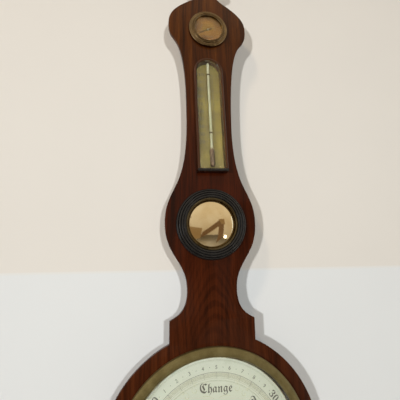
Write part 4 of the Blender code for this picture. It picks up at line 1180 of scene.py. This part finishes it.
def seen_in_mirror(u, v, distance):
    """Where a ray from the camera lands after the convex mirror turns it at (u, v) from its centre."""
    curve_r = (MIRROR_GLASS_R ** 2 + MIRROR_RISE ** 2) / (2 * MIRROR_RISE)
    sag = curve_r - sqrt(curve_r ** 2 - u * u - v * v)
    point = on_case(u, MIRROR_Z + v, 0.0021 + MIRROR_RISE - sag)
    normal = Vector((u, -sqrt(curve_r ** 2 - u * u - v * v), v)) / curve_r
    ray = (point - CAMERA_AT).normalized()
    bounced = ray - 2 * ray.dot(normal) * normal
    return point + bounced * distance


def only_reflected(made):
    # The camera and the lamps' light pass it by.
    for ray in ("camera", "diffuse", "transmission", "shadow", "volume_scatter"):
        setattr(made, "visible_" + ray, False)


# How bright the room is in reflections and as a light, and half the width of its two windows.
ROOM_REFLECTED = 0.85
ROOM_AMBIENT = 0.09
WINDOW_HALF_WIDTH = 0.30


def make_room():
    wall = painted_wall()
    stage_plane("wall", [(-3, 0.0006, -2.2), (3, 0.0006, -2.2), (3, 0.0006, 1.4), (-3, 0.0006, 1.4)], wall)
    floor, tree, shader = new_material("pale_floor", Roughness=0.7)
    cloud = noise(tree, coordinates(tree), 4.0, 5.0)
    drive(tree, shader, Base_Color=ramp(tree, cloud, (0.3, (0.62, 0.57, 0.49)), (0.7, (0.70, 0.65, 0.57))))
    stage_plane("floor", [(-3, 0.0006, -2.2), (-3, -4, -2.2), (3, -4, -2.2), (3, 0.0006, -2.2)], floor)

    dark = glow("room_dark", (0.16, 0.095, 0.050), 1.0)
    mid = glow("room_mid", (0.27, 0.18, 0.09), 1.0)
    bright = glow("lamp", (1.0, 0.95, 0.85), 7.0)
    shapes = (
        ("beam_low", dark, 2.2, mm((-19, -21.5), (-17, -14), (9, 4.5), (13, -1))),
        ("beam_high", mid, 2.4, mm((6, -3), (8.5, 6), (17.5, 7), (19, -2))),
        ("post", dark, 2.3, mm((8, -2), (17, -1), (15, -21), (5, -30))),
        ("corner", mid, 2.6, mm((-38, -4), (-17, -8), (-20, -23), (-30, -24))),
        ("lamp_spot", bright, 1.6, mm((17.5, -18.5), (17.5, -22.5), (21.5, -22.5), (21.5, -18.5))),
    )
    for name, material, distance, corners in shapes:
        only_reflected(stage_plane("room_" + name, [seen_in_mirror(u, v, distance) for u, v in corners],
                material))

    windows = (("right", (2.0, -0.45, -0.30), 0.70, 1.3), ("left", (-2.0, -0.45, -0.75), 0.50, 2.5))
    for name, middle, half_height, strength in windows:
        at, up = Vector(middle), Vector((0, 0, half_height))
        along = (on_case(0, MIRROR_Z) - at).cross(up).normalized() * WINDOW_HALF_WIDTH
        corners = [at - along - up, at + along - up, at + along + up, at - along + up]
        daylight = glow("daylight_" + name, (0.88, 0.94, 1.0), strength)
        only_reflected(stage_plane("window_" + name, corners, daylight))

    world = bpy.data.worlds.new("room_light")
    bpy.context.scene.world = world
    world.use_nodes = True
    tree = world.node_tree
    direction = add(tree, "ShaderNodeTexCoord").outputs["Generated"]
    up = add(tree, "ShaderNodeSeparateXYZ", {0: direction}).outputs[2]
    sky = ramp(tree, scaled(tree, up, 0.5, 0.5), (0.10, (0.36, 0.30, 0.22)), (0.45, (0.62, 0.52, 0.38)),
               (0.80, (0.84, 0.74, 0.58)))
    reflected = add(tree, "ShaderNodeLightPath").outputs["Is Glossy Ray"]
    ground = tree.nodes["Background"]
    tree.links.new(sky, ground.inputs["Color"])
    tree.links.new(scaled(tree, reflected, ROOM_REFLECTED - ROOM_AMBIENT, ROOM_AMBIENT),
                   ground.inputs["Strength"])


def area_light(name, at, aim, size, power, colour):
    data = bpy.data.lights.new(name, "AREA")
    data.shape = "DISK"
    data.size = size
    data.energy = power
    data.color = colour
    made = bpy.data.objects.new(name, data)
    bpy.context.scene.collection.objects.link(made)
    made.location = at
    made.rotation_euler = (Vector(aim) - Vector(at)).to_track_quat("-Z", "Y").to_euler()
    made.visible_glossy = False


def make_lights():
    """A lamp a little to the right of the camera, one to its left, and a warm one high on the left."""
    aim = on_case(0.0, 0.35)
    for name, lean, rise, distance, size, power, colour in (
        ("key", 0.13, 0.10, 2.2, 0.13, 20.0, (0.93, 0.97, 1.00)),
        ("left", -0.76, -0.04, 2.2, 0.13, 27.0, (0.94, 0.97, 1.00)),
        ("window", -0.95, 1.50, 2.6, 0.30, 14.0, (1.0, 0.80, 0.58)),
    ):
        direction = Vector((lean, -1.0, rise)).normalized()
        area_light(name, aim + direction * distance, aim, size, power, colour)


make_case()
make_dial()
make_bezel()
make_hands()
make_thermometer()
make_hygrometer()
make_mirror()
make_lower_fittings()
make_moving_lines()
make_back_screws()
paint_nodes()
make_camera()
make_room()
make_lights()
bpy.context.scene.view_settings.view_transform = "Standard"
